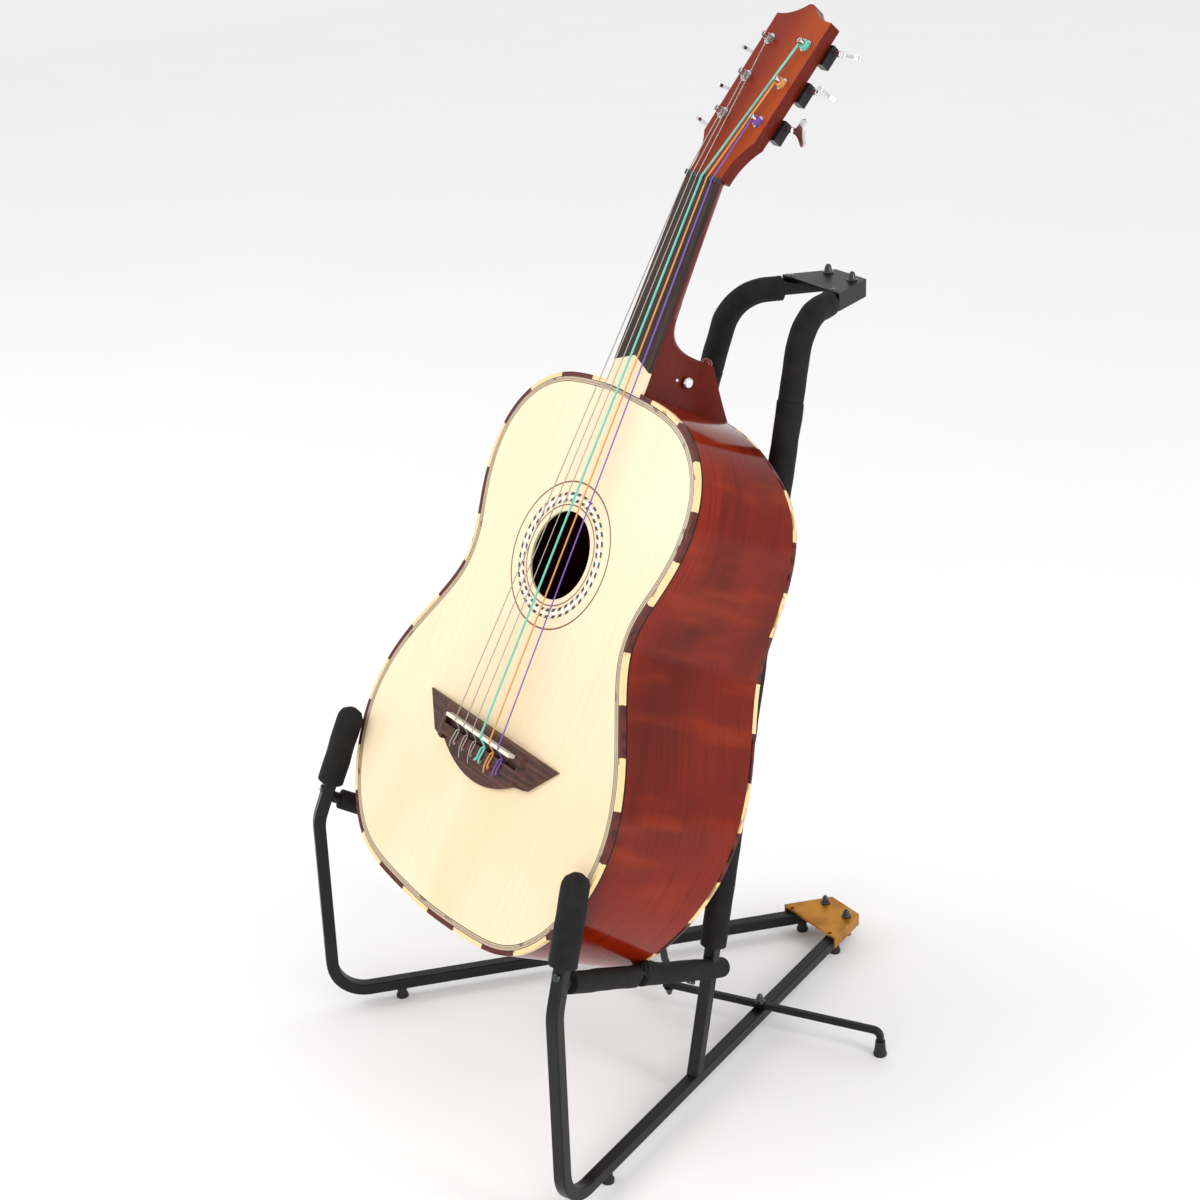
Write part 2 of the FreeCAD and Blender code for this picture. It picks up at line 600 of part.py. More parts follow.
front_half = neck_half(HEEL_TOP_V) - 1.0


def heel_section(y, grow):
    """Across the heel: as wide as the neck in front, narrowing towards the rear."""
    half = neck_half(y)
    rear = heel_half_rear + grow
    curve = Part.BSplineCurve()
    curve.interpolate([Vec(-half, y, -BOARD_THICK), Vec(-0.80 * half - 0.2 * rear, y, -40),
                       Vec(-rear - 6, y, -100), Vec(-rear, y, -165)])
    other = Part.BSplineCurve()
    other.interpolate([Vec(rear, y, -165), Vec(rear + 6, y, -100), Vec(0.80 * half + 0.2 * rear, y, -40),
                       Vec(half, y, -BOARD_THICK)])
    return Part.Wire([curve.toShape(), Part.makeLine(Vec(-rear, y, -165), Vec(rear, y, -165)),
                      other.toShape(), Part.makeLine(Vec(half, y, -BOARD_THICK), Vec(-half, y, -BOARD_THICK))])


heel_plan = Part.makeLoft([heel_section(318, 0), heel_section(250, 0), heel_section(185, 10)], True)
body_space = slab(0, 10, -DEEP)
heel = heel_block.common(heel_plan)
neck = shaft.fuse(heel).cut(body_space).removeSplitter()
board_room = Part.makeBox(100, 400, 40, Vec(-50, 150, -BOARD_THICK))
neck = neck.cut(board_room)
neck = max(neck.Solids, key=lambda part: part.Volume)
guitar("neck", neck)

# heel cap: a bead along the rear edge of the heel, ending in a small round knob
cap = round_sweep(4.5, Part.Wire([Part.makeLine(Vec(0, 205, -149.0), Vec(0, 257, -102.5))]))
cap = cap.fuse(Part.makeSphere(6.5, Vec(0, 257, -102.5))).cut(neck).cut(body_space)
cap = max(cap.Solids, key=lambda part: part.Volume)
guitar("heel_cap", cap)

# ---------------------------------------------------------------- fingerboard, top extension, nut
def neck_strip(y_low, y_high, notch):
    pts = [(-neck_half(y_low), y_low), (-neck_half(y_high), y_high), (neck_half(y_high), y_high),
           (neck_half(y_low), y_low)]
    if notch:
        pts.append((0, notch))
    return prism(pts, -BOARD_THICK, BOARD_THICK)


fingerboard = neck_strip(BOARD_LOW_V, NUT_V - 6, BOARD_PEAK_V)
guitar("fingerboard", fingerboard)
extension = neck_strip(NECK_BODY_V - 12, BOARD_PEAK_V, None).cut(fingerboard).cut(body_space)
extension = max(extension.Solids, key=lambda part: part.Volume)
# the pale wood runs on over the body's edge here, so the binding stops on either side of it
crossing_low, crossing_high = neck_half(NECK_BODY_V - 14), neck_half(NECK_BODY_V + 2)
crossing = prism([
    (-crossing_low, NECK_BODY_V - 14), (-crossing_high, NECK_BODY_V + 2), (crossing_high, NECK_BODY_V + 2),
    (crossing_low, NECK_BODY_V - 14)], -BINDING_DEEP, BINDING_DEEP)
guitar("top_extension", extension.fuse(binding_ring.common(crossing)).removeSplitter())
guitar("top_binding", binding_ring.cut(crossing))
nut_ends = [(-neck_half(NUT_V), NUT_V - 6), (-neck_half(NUT_V), NUT_V), (neck_half(NUT_V), NUT_V), (neck_half(NUT_V), NUT_V - 6)]
nut = prism(nut_ends, -BOARD_THICK, BOARD_THICK + 3.2)

# ---------------------------------------------------------------- headstock and tuners
HEAD = FreeCAD.Placement(Vec(0, NUT_V, -2.6), FreeCAD.Rotation(X_AXIS, -HEAD_TILT))


def on_head(shape):
    moved = shape.copy()
    moved.Placement = HEAD.multiply(moved.Placement)
    return moved


def head_outline():
    side = [Vec(28.5, 0, 0), Vec(31.5, 26, 0), Vec(45, 50, 0)]
    flare = Part.Arc(side[0], side[1], side[2]).toShape()
    corner = Vec(HEAD_HALF, 209, 0)
    edge = Part.makeLine(side[2], corner)
    shoulder = Part.Arc(corner, Vec(24, 213.5, 0), Vec(5, 226, 0)).toShape()
    right = [flare, edge, shoulder]
    crown = Part.Arc(Vec(5, 226, 0), Vec(0, HEAD_LENGTH, 0), Vec(-5, 226, 0)).toShape()
    left = [piece.mirror(Vec(), X_AXIS) for piece in reversed(right)]
    foot = Part.makeLine(Vec(-28.5, 0, 0), Vec(28.5, 0, 0))
    return Part.Face(Part.Wire(Part.__sortEdges__(right + [crown] + left + [foot])))


head = head_outline().extrude(Vec(0, 0, -HEAD_THICK))
for x in (POST_X, -POST_X):
    for row in POST_ROWS:
        head = head.cut(Part.makeCylinder(POST_RADIUS + 2, 40, Vec(x, row, -25)))
headstock = on_head(head).cut(nut).cut(shaft)
headstock = max(headstock.Solids, key=lambda part: part.Volume)
guitar("headstock", headstock)

string_at_nut = [(i - 2.5) * STRING_STEP_NUT for i in range(6)]
string_at_saddle = [(i - 2.5) * STRING_STEP_SADDLE for i in range(6)]
nut_top = 3.2
NUT_MID = NUT_V - 3

BUTTON_HALF = 15.0
BUTTON_LONG = 20.0
BUTTON_THICK = 4.0


def button_outline():
    """Butterfly wing: a narrow stem that flares to a wide, slightly hollow outer edge."""
    half = [Vec(0, 3.2, 0), Vec(5, 3.6, 0), Vec(11, 8.5, 0), Vec(14, BUTTON_HALF - 1, 0)]
    lobe = Part.Arc(half[3], Vec(18, BUTTON_HALF, 0), Vec(BUTTON_LONG, 10.5, 0)).toShape()
    flare = Part.BSplineCurve()
    flare.interpolate(half)
    right = [flare.toShape(), lobe]
    rim = Part.Arc(Vec(BUTTON_LONG, 10.5, 0), Vec(BUTTON_LONG - 2.4, 0, 0), Vec(BUTTON_LONG, -10.5, 0)).toShape()
    left = [piece.mirror(Vec(), Y_AXIS) for piece in reversed(right)]
    stem = Part.makeLine(Vec(0, -3.2, 0), Vec(0, 3.2, 0))
    return Part.Face(Part.Wire(Part.__sortEdges__(right + [rim] + left + [stem])))


def tuner_button(turned):
    """Button, shaft and worm along +x from the worm's middle, turned about that shaft."""
    wing = button_outline().extrude(Vec(0, 0, BUTTON_THICK))
    wing.translate(Vec(BUTTON_X - POST_X, 0, -BUTTON_THICK / 2))
    shaft_rod = Part.makeCylinder(2.4, BUTTON_X - POST_X + 8, Vec(-7, 0, 0), X_AXIS)
    collar = Part.makeCylinder(3.8, 5, Vec(BUTTON_X - POST_X - 5, 0, 0), X_AXIS)
    worm = Part.makeCylinder(3.1, 9, Vec(-4.5, 0, 0), X_AXIS)
    whole = wing.fuse([shaft_rod, collar, worm]).removeSplitter()
    whole.rotate(Vec(), X_AXIS, turned)
    return whole


POST_HIGH = 13.0
BUTTON_TURNS = {"right": (116, 93, 40), "left": (86, 78, 95)}
housings = []
bushings = []
for side, sign in (("right", 1), ("left", -1)):
    for number, row in enumerate(POST_ROWS, start=1):
        axis = Vec(sign * POST_X, row, 0)
        post = Part.makeCylinder(POST_RADIUS, POST_HIGH + HEAD_THICK + 9, axis + Vec(0, 0, -HEAD_THICK - 9))
        slot = Part.makeBox(1.6, 20, 4, axis + Vec(-0.8, -10, POST_HIGH - 4))
        gear = Part.makeCylinder(6.6, 5, axis + Vec(0, 0, -HEAD_THICK - 9))
        post = post.cut(slot).fuse(gear).removeSplitter()
        guitar("tuner_post_%s_%d" % (side, number), on_head(post))

        bush = Part.makeCylinder(5.3, HEAD_THICK, axis + Vec(0, 0, -HEAD_THICK))
        bush = bush.fuse(Part.makeCylinder(7.2, 1.6, axis))
        bush = bush.cut(Part.makeCylinder(POST_RADIUS + 0.3, 60, axis + Vec(0, 0, -40)))
        bushings.append(on_head(bush))

        button = tuner_button(BUTTON_TURNS[side][number - 1])
        if sign < 0:
            button.rotate(Vec(), Z_AXIS, 180)
        worm_at = Vec(sign * POST_X, row + sign * WORM_OFFSET, -HEAD_THICK - WORM_BEHIND)
        button.translate(worm_at)
        guitar("tuner_button_%s_%d" % (side, number), on_head(button))

        plate = Part.makeBox(24, 36, 1.5, Vec(-12, -14, -HEAD_THICK - 1.5))
        lug_in = Part.makeBox(3, 9, 10, Vec(-11.5, WORM_OFFSET - 4.5, -HEAD_THICK - 11.5))
        lug_out = Part.makeBox(12, 26, 12, Vec(8.5, WORM_OFFSET - 20, -HEAD_THICK - 12))
        housing = plate.fuse([lug_in, lug_out]).removeSplitter()
        housing = housing.cut(Part.makeCylinder(POST_RADIUS + 0.6, 60, Vec(0, 0, -60)))
        bore = Part.makeCylinder(2.7, 60, Vec(-30, WORM_OFFSET, -HEAD_THICK - WORM_BEHIND), X_AXIS)
        housing = housing.cut(bore)
        if sign < 0:
            housing.rotate(Vec(), Z_AXIS, 180)
        housing.translate(axis)
        housings.append(on_head(housing))
guitar("tuner_bushings", Part.makeCompound(bushings))
guitar("tuner_housings", Part.makeCompound(housings))

# ---------------------------------------------------------------- bridge, saddle, strings
bridge_top = -211.0
side_edge = [Vec(133, bridge_top, 0), Vec(94, -249, 0), Vec(71, -252.5, 0)]
belly_middle = Vec(0, -275, 0)
other_side = [Vec(-p.x, p.y, 0) for p in reversed(side_edge)]
belly = Part.Arc(side_edge[2], belly_middle, other_side[0]).toShape()
straight = [Part.makeLine(a, b) for a, b in zip(side_edge, side_edge[1:])]
straight += [Part.makeLine(a, b) for a, b in zip(other_side, other_side[1:])]
closing = Part.makeLine(other_side[2], side_edge[0])
bridge_face = Part.Face(Part.Wire(Part.__sortEdges__([belly, closing] + straight)))
bridge = bridge_face.extrude(Vec(0, 0, BRIDGE_BLOCK))
wing_points = [(78, BRIDGE_BLOCK), (86, 8.5), (150, 0.8), (150, 40), (78, 40)]
wing_line = Part.makePolygon([Vec(x, -320, z) for x, z in wing_points + wing_points[:1]])
wing_cut = Part.Face(wing_line).extrude(Vec(0, 160, 0))
bridge = bridge.cut(wing_cut).cut(mirrored(wing_cut))
TIE_FRONT = SADDLE_V - 13
TIE_REAR = TIE_FRONT - 13
channel = Part.makeBox(150, 8, 10, Vec(-75, TIE_FRONT, 5))
bridge = bridge.cut(channel)
slope_points = [(TIE_REAR, BRIDGE_BLOCK + 1), (TIE_REAR, 7.5), (-285, 3.0), (-285, BRIDGE_BLOCK + 1)]
slope_line = Part.makePolygon([Vec(-72, y, z) for y, z in slope_points + slope_points[:1]])
bridge = bridge.cut(Part.Face(slope_line).extrude(Vec(144, 0, 0)))
slot_half = 2.0
saddle_slot = Part.makeBox(2 * SADDLE_HALF, 2 * slot_half, 10, Vec(-SADDLE_HALF, SADDLE_V - slot_half, BRIDGE_BLOCK - 6))
bridge = bridge.cut(saddle_slot)
tie_z = 9.5
for x, radius in zip(string_at_saddle, STRING_RADII):
    bridge = bridge.cut(Part.makeCylinder(radius + 0.3, 13.5, Vec(x, TIE_REAR - 0.2, tie_z), Y_AXIS))
guitar("bridge", bridge)

saddle = Part.makeBox(2 * SADDLE_HALF, 2 * slot_half, SADDLE_TOP - BRIDGE_BLOCK + 6,
                      Vec(-SADDLE_HALF, SADDLE_V - slot_half, BRIDGE_BLOCK - 6))


def string_solid(points, radius):
    """Round string along straight runs, mitred at each turn."""
    route = Part.makePolygon(points)
    profile = Part.Wire(Part.makeCircle(radius))
    profile.Placement = FreeCAD.Placement(points[0], FreeCAD.Rotation(Z_AXIS, points[1] - points[0]))
    return route.makePipeShell([profile], True, False, 1)


# bass side: three strings to the left posts; treble side: three to the right posts
STRING_POSTS = (("left", 3), ("left", 2), ("left", 1), ("right", 1), ("right", 2), ("right", 3))
winding_high = 6.0
strings = []
for i, radius in enumerate(STRING_RADII):
    side, number = STRING_POSTS[i]
    sign = 1 if side == "right" else -1
    tie_low = Vec(string_at_saddle[i], TIE_REAR - 0.1, tie_z)
    tie_high = Vec(string_at_saddle[i], TIE_FRONT + 1.5, tie_z)
    over_saddle = Vec(string_at_saddle[i], SADDLE_V, SADDLE_TOP + radius - 0.1)
    over_nut = Vec(string_at_nut[i], NUT_MID, nut_top + radius - 0.2)
    past_nut = Vec(string_at_nut[i], NUT_V, nut_top + radius - 0.35)
    inner_side = sign * (POST_X - POST_RADIUS - radius - 0.4)
    level = winding_high + (0.6 if number == 1 else 0.0)
    at_post = HEAD.multVec(Vec(inner_side, POST_ROWS[number - 1], level))
    route = [tie_low, tie_high, over_saddle, over_nut, past_nut, at_post]
    strings.append(string_solid(route, radius))
    groove = string_solid(route, radius + 0.05)
    saddle = saddle.cut(groove)
    nut = nut.cut(groove)
guitar("saddle", saddle)
guitar("nut", nut)
guitar("wound_strings", Part.makeCompound(strings[:3]))
guitar("nylon_strings", Part.makeCompound(strings[3:]))

# strap button on the treble side of the heel
strap_at = Vec(0, 230, -61)
strap = Part.makeCylinder(3.0, 31, strap_at, X_AXIS).fuse([
    Part.makeCone(5.2, 4.0, 2.5, strap_at + Vec(24.5, 0, 0), X_AXIS),
    Part.makeCylinder(6.6, 2.2, strap_at + Vec(29, 0, 0), X_AXIS),
    Part.makeCone(6.6, 4.6, 1.4, strap_at + Vec(31.2, 0, 0), X_AXIS)])
strap = strap.removeSplitter().cut(neck)
strap = max(strap.Solids, key=lambda part: part.Volume)
pin = Part.makeCylinder(1.7, 29.0, Vec(0, 229, -46), X_AXIS).cut(neck)
pin = max(pin.Solids, key=lambda part: part.BoundBox.XMax)
guitar("strap_button", Part.makeCompound([strap, pin]))

# ---------------------------------------------------------------- foam pressed in by the guitar
pressing_body = off_back(slab(-0.4, 0, -DEEP), -0.4)
pressing_body.Placement = GUITAR.multiply(pressing_body.Placement)
for name in ("back_sleeves_right", "back_sleeves_left"):
    pressed = [foam.cut(pressing_body) for foam in nodes[name].Solids]
    nodes[name] = Part.makeCompound([max(foam.Solids, key=lambda part: part.Volume) for foam in pressed])

# ---------------------------------------------------------------- origin and export
outermost = Part.makeCompound([nodes[name] for name in (
    "main_tube_right", "main_tube_left", "base_plate", "rail_feet_right", "tuner_bushings")])
whole = outermost.optimalBoundingBox(False, False)
shift = Vec(-(whole.XMin + whole.XMax) / 2, -(whole.YMin + whole.YMax) / 2, -whole.ZMin)
print("box", round(whole.XLength, 2), round(whole.YLength, 2), round(whole.ZLength, 2), "shift", shift)
for name, shape in nodes.items():
    shape.translate(shift)
    shape.exportStep("parts/%s.step" % name)
    print(name, len(shape.Solids), round(shape.Volume, 1), shape.isValid())
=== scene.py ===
import math

import bpy
from mathutils import Euler, Matrix, Vector, noise


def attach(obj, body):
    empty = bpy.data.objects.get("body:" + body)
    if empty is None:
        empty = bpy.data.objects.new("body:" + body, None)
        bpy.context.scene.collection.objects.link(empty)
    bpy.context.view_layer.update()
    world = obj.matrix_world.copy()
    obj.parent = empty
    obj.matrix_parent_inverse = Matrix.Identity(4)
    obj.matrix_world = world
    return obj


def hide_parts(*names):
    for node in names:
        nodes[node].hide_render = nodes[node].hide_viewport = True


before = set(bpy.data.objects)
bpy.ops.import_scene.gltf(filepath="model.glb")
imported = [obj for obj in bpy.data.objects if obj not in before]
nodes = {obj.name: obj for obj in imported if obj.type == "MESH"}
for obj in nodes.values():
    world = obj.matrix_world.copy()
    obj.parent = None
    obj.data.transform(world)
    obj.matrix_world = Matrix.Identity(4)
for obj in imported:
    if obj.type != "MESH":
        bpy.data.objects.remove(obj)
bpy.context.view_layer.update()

bpy.ops.object.select_all(action="DESELECT")

# ---------------------------------------------------------------- camera
# Stands at the treble side, a little above, about two and a half metres from the instrument.
STAND_POINT = (1.9407, -1.3548, 1.6420)
SENSOR, LENS = 36, 67.092
SHIFT_X, SHIFT_Y = -0.0419167, -0.0625833
turn, rise, roll = math.radians(54.74), math.radians(22.42), math.radians(-1.6)
back = Vector((math.sin(turn) * math.cos(rise), -math.cos(turn) * math.cos(rise), math.sin(rise)))
level = Vector((math.cos(turn), math.sin(turn), 0))
over = back.cross(level)
right = level * math.cos(roll) + over * math.sin(roll)
upward = over * math.cos(roll) - level * math.sin(roll)
camera = bpy.data.objects.new("camera", bpy.data.cameras.new("camera"))
bpy.context.collection.objects.link(camera)
facing_matrix = Matrix((right, upward, back)).transposed().to_4x4()
camera.matrix_world = Matrix.Translation(STAND_POINT) @ facing_matrix
camera.data.sensor_width = SENSOR
camera.data.lens = LENS
camera.data.shift_x = SHIFT_X
camera.data.shift_y = SHIFT_Y
bpy.context.scene.camera = camera
bpy.context.scene.view_settings.view_transform = "Standard"


# ---------------------------------------------------------------- floor and lights
# A plain pale studio floor that runs away under white light: one broad soft source high on the
# bass side, a long one behind on the treble side, and a low fill in front.
class Val:
    """A number that varies over a surface: arithmetic on it adds Math nodes."""

    def __init__(self, finish, socket):
        self.finish = finish
        self.socket = socket

    def math(self, operation, *others):
        values = dict(enumerate((self, *others)))
        return self.finish.node("ShaderNodeMath", {"operation": operation}, values)

    def flip(self, operation, other):
        return self.finish.node("ShaderNodeMath", {"operation": operation}, {0: other, 1: self})

    def __add__(self, other):
        return self.math("ADD", other)

    def __radd__(self, other):
        return self.math("ADD", other)

    def __sub__(self, other):
        return self.math("SUBTRACT", other)

    def __rsub__(self, other):
        return self.flip("SUBTRACT", other)

    def __mul__(self, other):
        return self.math("MULTIPLY", other)

    def __rmul__(self, other):
        return self.math("MULTIPLY", other)

    def __truediv__(self, other):
        return self.math("DIVIDE", other)

    def __rtruediv__(self, other):
        return self.flip("DIVIDE", other)

    def __pow__(self, other):
        return self.math("POWER", other)

    def __mod__(self, other):
        return self.math("FLOORED_MODULO", other)

    def __lt__(self, other):
        return self.math("LESS_THAN", other)

    def __gt__(self, other):
        return self.math("GREATER_THAN", other)

    def __abs__(self):
        return self.math("ABSOLUTE")

    def most(self, other):
        return self.math("MAXIMUM", other)

    def between(self, low, high):
        return (self > low) * (self < high)

    def rise(self, low, high):
        """0 below low, 1 above high, and smooth between."""
        return self.finish.node("ShaderNodeMapRange", {"interpolation_type": "SMOOTHSTEP"}, {
            "Value": self, "From Min": low, "From Max": high})


class Finish:
    """One surface finish: a node tree around a single shader."""

    def __init__(self, name, colour, rough=0.5, **fixed):
        self.material = bpy.data.materials.new(name)
        self.material.use_nodes = True
        self.tree = self.material.node_tree
        self.shader = self.tree.nodes["Principled BSDF"]
        self.shader.inputs["Roughness"].default_value = rough
        self.shader.inputs["Base Color"].default_value = paint(*colour)
        for key, value in fixed.items():
            self.shader.inputs[key.replace("_", " ")].default_value = value
        self.material.diffuse_color = self.shader.inputs["Base Color"].default_value

    def put(self, socket, value):
        if isinstance(value, Val):
            self.tree.links.new(value.socket, socket)
        elif isinstance(value, tuple) and len(value) == 3 and len(socket.default_value) == 4:
            socket.default_value = paint(*value)
        else:
            socket.default_value = value

    def node(self, kind, settings=(), values=(), out=0):
        made = self.tree.nodes.new(kind)
        for key, value in dict(settings).items():
            setattr(made, key, value)
        for key, value in dict(values).items():
            self.put(made.inputs[key], value)
        return Val(self, made.outputs[out])

    def mix(self, share, first, second):
        return self.node("ShaderNodeMix", {"data_type": "RGBA"}, {0: share, 6: first, 7: second}, out=2)

    def place(self, origin=(0, 0, 0), turned=(0, 0, 0), stretch=(1, 1, 1)):
        """Coordinates of a piece about an origin of its own."""
        coords = self.node("ShaderNodeTexCoord", out=3)
        return self.node("ShaderNodeMapping", {"vector_type": "TEXTURE"}, {
            "Vector": coords, "Location": origin, "Rotation": turned, "Scale": stretch})

    def split(self, vector):
        cut = self.tree.nodes.new("ShaderNodeSeparateXYZ")
        self.tree.links.new(vector.socket, cut.inputs[0])
        return [Val(self, cut.outputs[i]) for i in range(3)]

    def join(self, x, y, z):
        return self.node("ShaderNodeCombineXYZ", {}, {0: x, 1: y, 2: z})

    def noise(self, vector, scale, detail=2.0, rough=0.5, distort=0.0):
        return self.node("ShaderNodeTexNoise", {}, {
            "Vector": vector, "Scale": scale, "Detail": detail, "Roughness": rough, "Distortion": distort})

    def bump(self, height, strength, distance):
        return self.node("ShaderNodeBump", {}, {"Height": height, "Strength": strength, "Distance": distance})

    def give(self, **values):
        for key, value in values.items():
            self.put(self.shader.inputs[key.replace("_", " ")], value)

    def on(self, *objects):
        for thing in objects:
            thing.data.materials.clear()
            thing.data.materials.append(self.material)


def paint(red, green, blue):
    """A colour given in screen values from 0 to 255."""
    def linear(level):
        share = level / 255
        return share / 12.92 if share <= 0.04045 else ((share + 0.055) / 1.055) ** 2.4
    return (linear(red), linear(green), linear(blue), 1.0)


def active():
    return bpy.context.view_layer.objects.active


FLOOR_SIZE = 14
WORLD_STRENGTH = 0.86
bpy.ops.mesh.primitive_plane_add(size=FLOOR_SIZE)
floor = active()
floor.name = "studio_floor"
pale = Finish("pale_floor", (252, 252, 252), 0.95)
floor_speck = pale.noise(pale.place(), 3.0)
pale.give(Base_Color=pale.mix(floor_speck, (251, 251, 251), (254, 254, 254)))
pale.on(floor)

world = bpy.data.worlds.new("studio")
bpy.context.scene.world = world
world.use_nodes = True
backdrop = world.node_tree.nodes["Background"]
backdrop.inputs["Color"].default_value = (1, 1, 1, 1)
backdrop.inputs["Strength"].default_value = WORLD_STRENGTH


def soft_light(name, place, aim, width, height, power):
    light = bpy.data.lights.new(name, "AREA")
    light.shape = "RECTANGLE"
    light.size = width
    light.size_y = height
    light.energy = power
    lamp = bpy.data.objects.new(name, light)
    bpy.context.collection.objects.link(lamp)
    lamp.location = place
    lamp.rotation_euler = (Vector(aim) - Vector(place)).to_track_quat("-Z", "Y").to_euler()


soft_light("key_light", (-1.6, -2.6, 2.6), aim=(0, -0.1, 0.7), width=2.4, height=2.4, power=44)
soft_light("side_light", (2.6, 0.9, 1.7), aim=(0, 0, 0.6), width=0.7, height=2.2, power=26)
soft_light("fill_light", (2.2, -2.6, 0.9), aim=(0, 0, 0.5), width=2.0, height=1.2, power=16)

# ---------------------------------------------------------------- side frames
# Square steel tube bent to a U lying on its side, with a straight back upright and a short round
# arm welded across it. The steel is powder coated satin black, faintly pebbled and worn at bends.
coat = Finish("satin_black_coat", (12, 12, 13), 0.38, Specular_IOR_Level=0.3)
coat_place = coat.place()
pebble = coat.noise(coat_place, 900, 1.0)
dust = coat.noise(coat_place, 14, 3.0).rise(0.45, 0.7)
coat.give(
    Base_Color=coat.mix(dust, (9, 9, 10), (20, 20, 21)),
    Roughness=0.34 + dust * 0.1 + pebble * 0.06,
    Normal=coat.bump(pebble, 0.12, 0.0004),
)
SIDES = ("right", "left")
for side in SIDES:
    for piece in ("main_tube", "back_upright", "rest_arm"):
        coat.on(nodes[piece + "_" + side])

# ---------------------------------------------------------------- hinge plates
# Two bent steel plates hold the frames together: the lower one is gold coloured, the upper one
# black, and the side flanges of both stop the frames when they are open.
gold = Finish("gold_plating", (176, 118, 34), 0.34, Metallic=0.75)
gold_place = gold.place()
brushed = gold.noise(gold.place(stretch=(0.05, 1, 1)), 700, 2.0)
patina = gold.noise(gold_place, 26, 3.0).rise(0.35, 0.7)
gold.give(
    Base_Color=gold.mix(patina, (196, 134, 42), (160, 102, 26)),
    Roughness=0.3 + patina * 0.14 + brushed * 0.08,
    Normal=gold.bump(brushed, 0.08, 0.0002),
)
gold.on(nodes["base_plate"])
coat.on(nodes["top_plate"])

# Bolts, cap nuts and screws are glossy black, with smears and finger marks. Only the head of the
# spreader's bolt, on the link, is plain zinc plated steel.
gloss = Finish("gloss_black_nut", (14, 14, 15), 0.16, Coat_Weight=0.6)
smear = gloss.noise(gloss.place(), 120, 2.0)
gloss.give(Base_Color=gloss.mix(smear, (10, 10, 11), (24, 24, 26)), Roughness=0.12 + smear * 0.12)
gloss.on(nodes["base_pivots"], nodes["top_pivots"], nodes["spreader_bolt"])
zinc = Finish("zinc_screw", (120, 120, 122), 0.35, Metallic=1.0)
zinc_spots = zinc.noise(zinc.place(), 300, 2.0)
zinc.give(
    Base_Color=zinc.mix(zinc_spots, (70, 70, 72), (150, 150, 154)),
    Roughness=0.25 + zinc_spots * 0.2,
)
gloss.on(nodes["fixings_right"], nodes["fixings_left"])
zinc.on(nodes["spreader_rivet"])

# ---------------------------------------------------------------- spreader, outrigger and feet
# A flat link and a long bar keep the frames apart; the bar ends in a leg with a rubber foot.
coat.on(nodes["stabiliser_bar"], nodes["spreader_link"])
rubber = Finish("black_rubber", (16, 16, 17), 0.62)
rubber_place = rubber.place()
scuff = rubber.noise(rubber_place, 180, 3.0)
rubber.give(
    Base_Color=rubber.mix(scuff, (12, 12, 13), (30, 29, 29)),
    Roughness=0.55 + scuff * 0.2,
    Normal=rubber.bump(scuff, 0.2, 0.0004),
)
rubber.on(nodes["rail_feet_right"], nodes["rail_feet_left"], nodes["stabiliser_foot"])

# ---------------------------------------------------------------- foam pads and sleeves
# Closed-cell foam tube pushed over the steel: a pad with a moulded round end on each hook, a sleeve
# on each arm, and two lengths on each back upright that butt together. Soft matte black skin.
HINGE_X, OPEN = 0.0215, math.radians(21.5)
REAR = 0.300313  # the hinge line lies this far behind the origin
foam = Finish("foam_skin", (20, 19, 19), 0.8, Specular_IOR_Level=0.25)
foam_place = foam.place()
pores = foam.noise(foam_place, 1400, 2.0)
dents = foam.noise(foam_place, 60, 2.0)
stretch_marks = foam.noise(foam.place(stretch=(1, 1, 0.35)), 180, 2.0)
foam.give(
    Base_Color=foam.mix(dents.rise(0.3, 0.75), (15, 14, 15), (30, 28, 27)),
    Roughness=0.66 + dents * 0.2,
    Normal=foam.bump(pores * 0.4 + stretch_marks * 0.5 + dents, 0.35, 0.0011),
)


def on_frame(s, z, side):
    """Point of a side frame: s forward from its hinge, at height z, in metres."""
    sign = 1 if side == "right" else -1
    return Vector((sign * (HINGE_X + s * math.sin(OPEN)), REAR - s * math.cos(OPEN), z))


def foam_tube(name, points, radius, side, edge=0.0022):
    """Foam around a centre line of (s, z) points, finely ringed, with softened ends."""
    line = bpy.data.curves.new(name, "CURVE")
    line.dimensions = "3D"
    spline = line.splines.new("POLY")
    spline.points.add(len(points) - 1)
    for knot, (s, z) in zip(spline.points, points):
        knot.co = (*on_frame(s, z, side), 1)
    line.bevel_depth = radius
    line.bevel_resolution = 7
    line.use_fill_caps = True
    tube = bpy.data.objects.new(name, line)
    bpy.context.collection.objects.link(tube)
    bpy.context.view_layer.objects.active = tube
    tube.select_set(True)
    bpy.ops.object.convert(target="MESH")
    tube = active()
    bpy.ops.object.mode_set(mode="EDIT")
    bpy.ops.mesh.select_all(action="SELECT")
    bpy.ops.mesh.remove_doubles(threshold=0.00002)
    bpy.ops.mesh.normals_make_consistent(inside=False)
    bpy.ops.object.mode_set(mode="OBJECT")
    soften = tube.modifiers.new("ends", "BEVEL")
    soften.width = edge
    soften.segments = 3
    soften.limit_method = "ANGLE"
    soften.angle_limit = math.radians(50)
    bpy.ops.object.modifier_apply(modifier="ends")
    bpy.ops.object.shade_smooth_by_angle(angle=math.radians(40))
    tube.select_set(False)
    return tube


def run(start, end, step=0.006):
    """Points along a straight line of (s, z), both ends included."""
    count = max(2, round(math.dist(start, end) / step))
    return [tuple(a + (b - a) * i / count for a, b in zip(start, end)) for i in range(count + 1)]


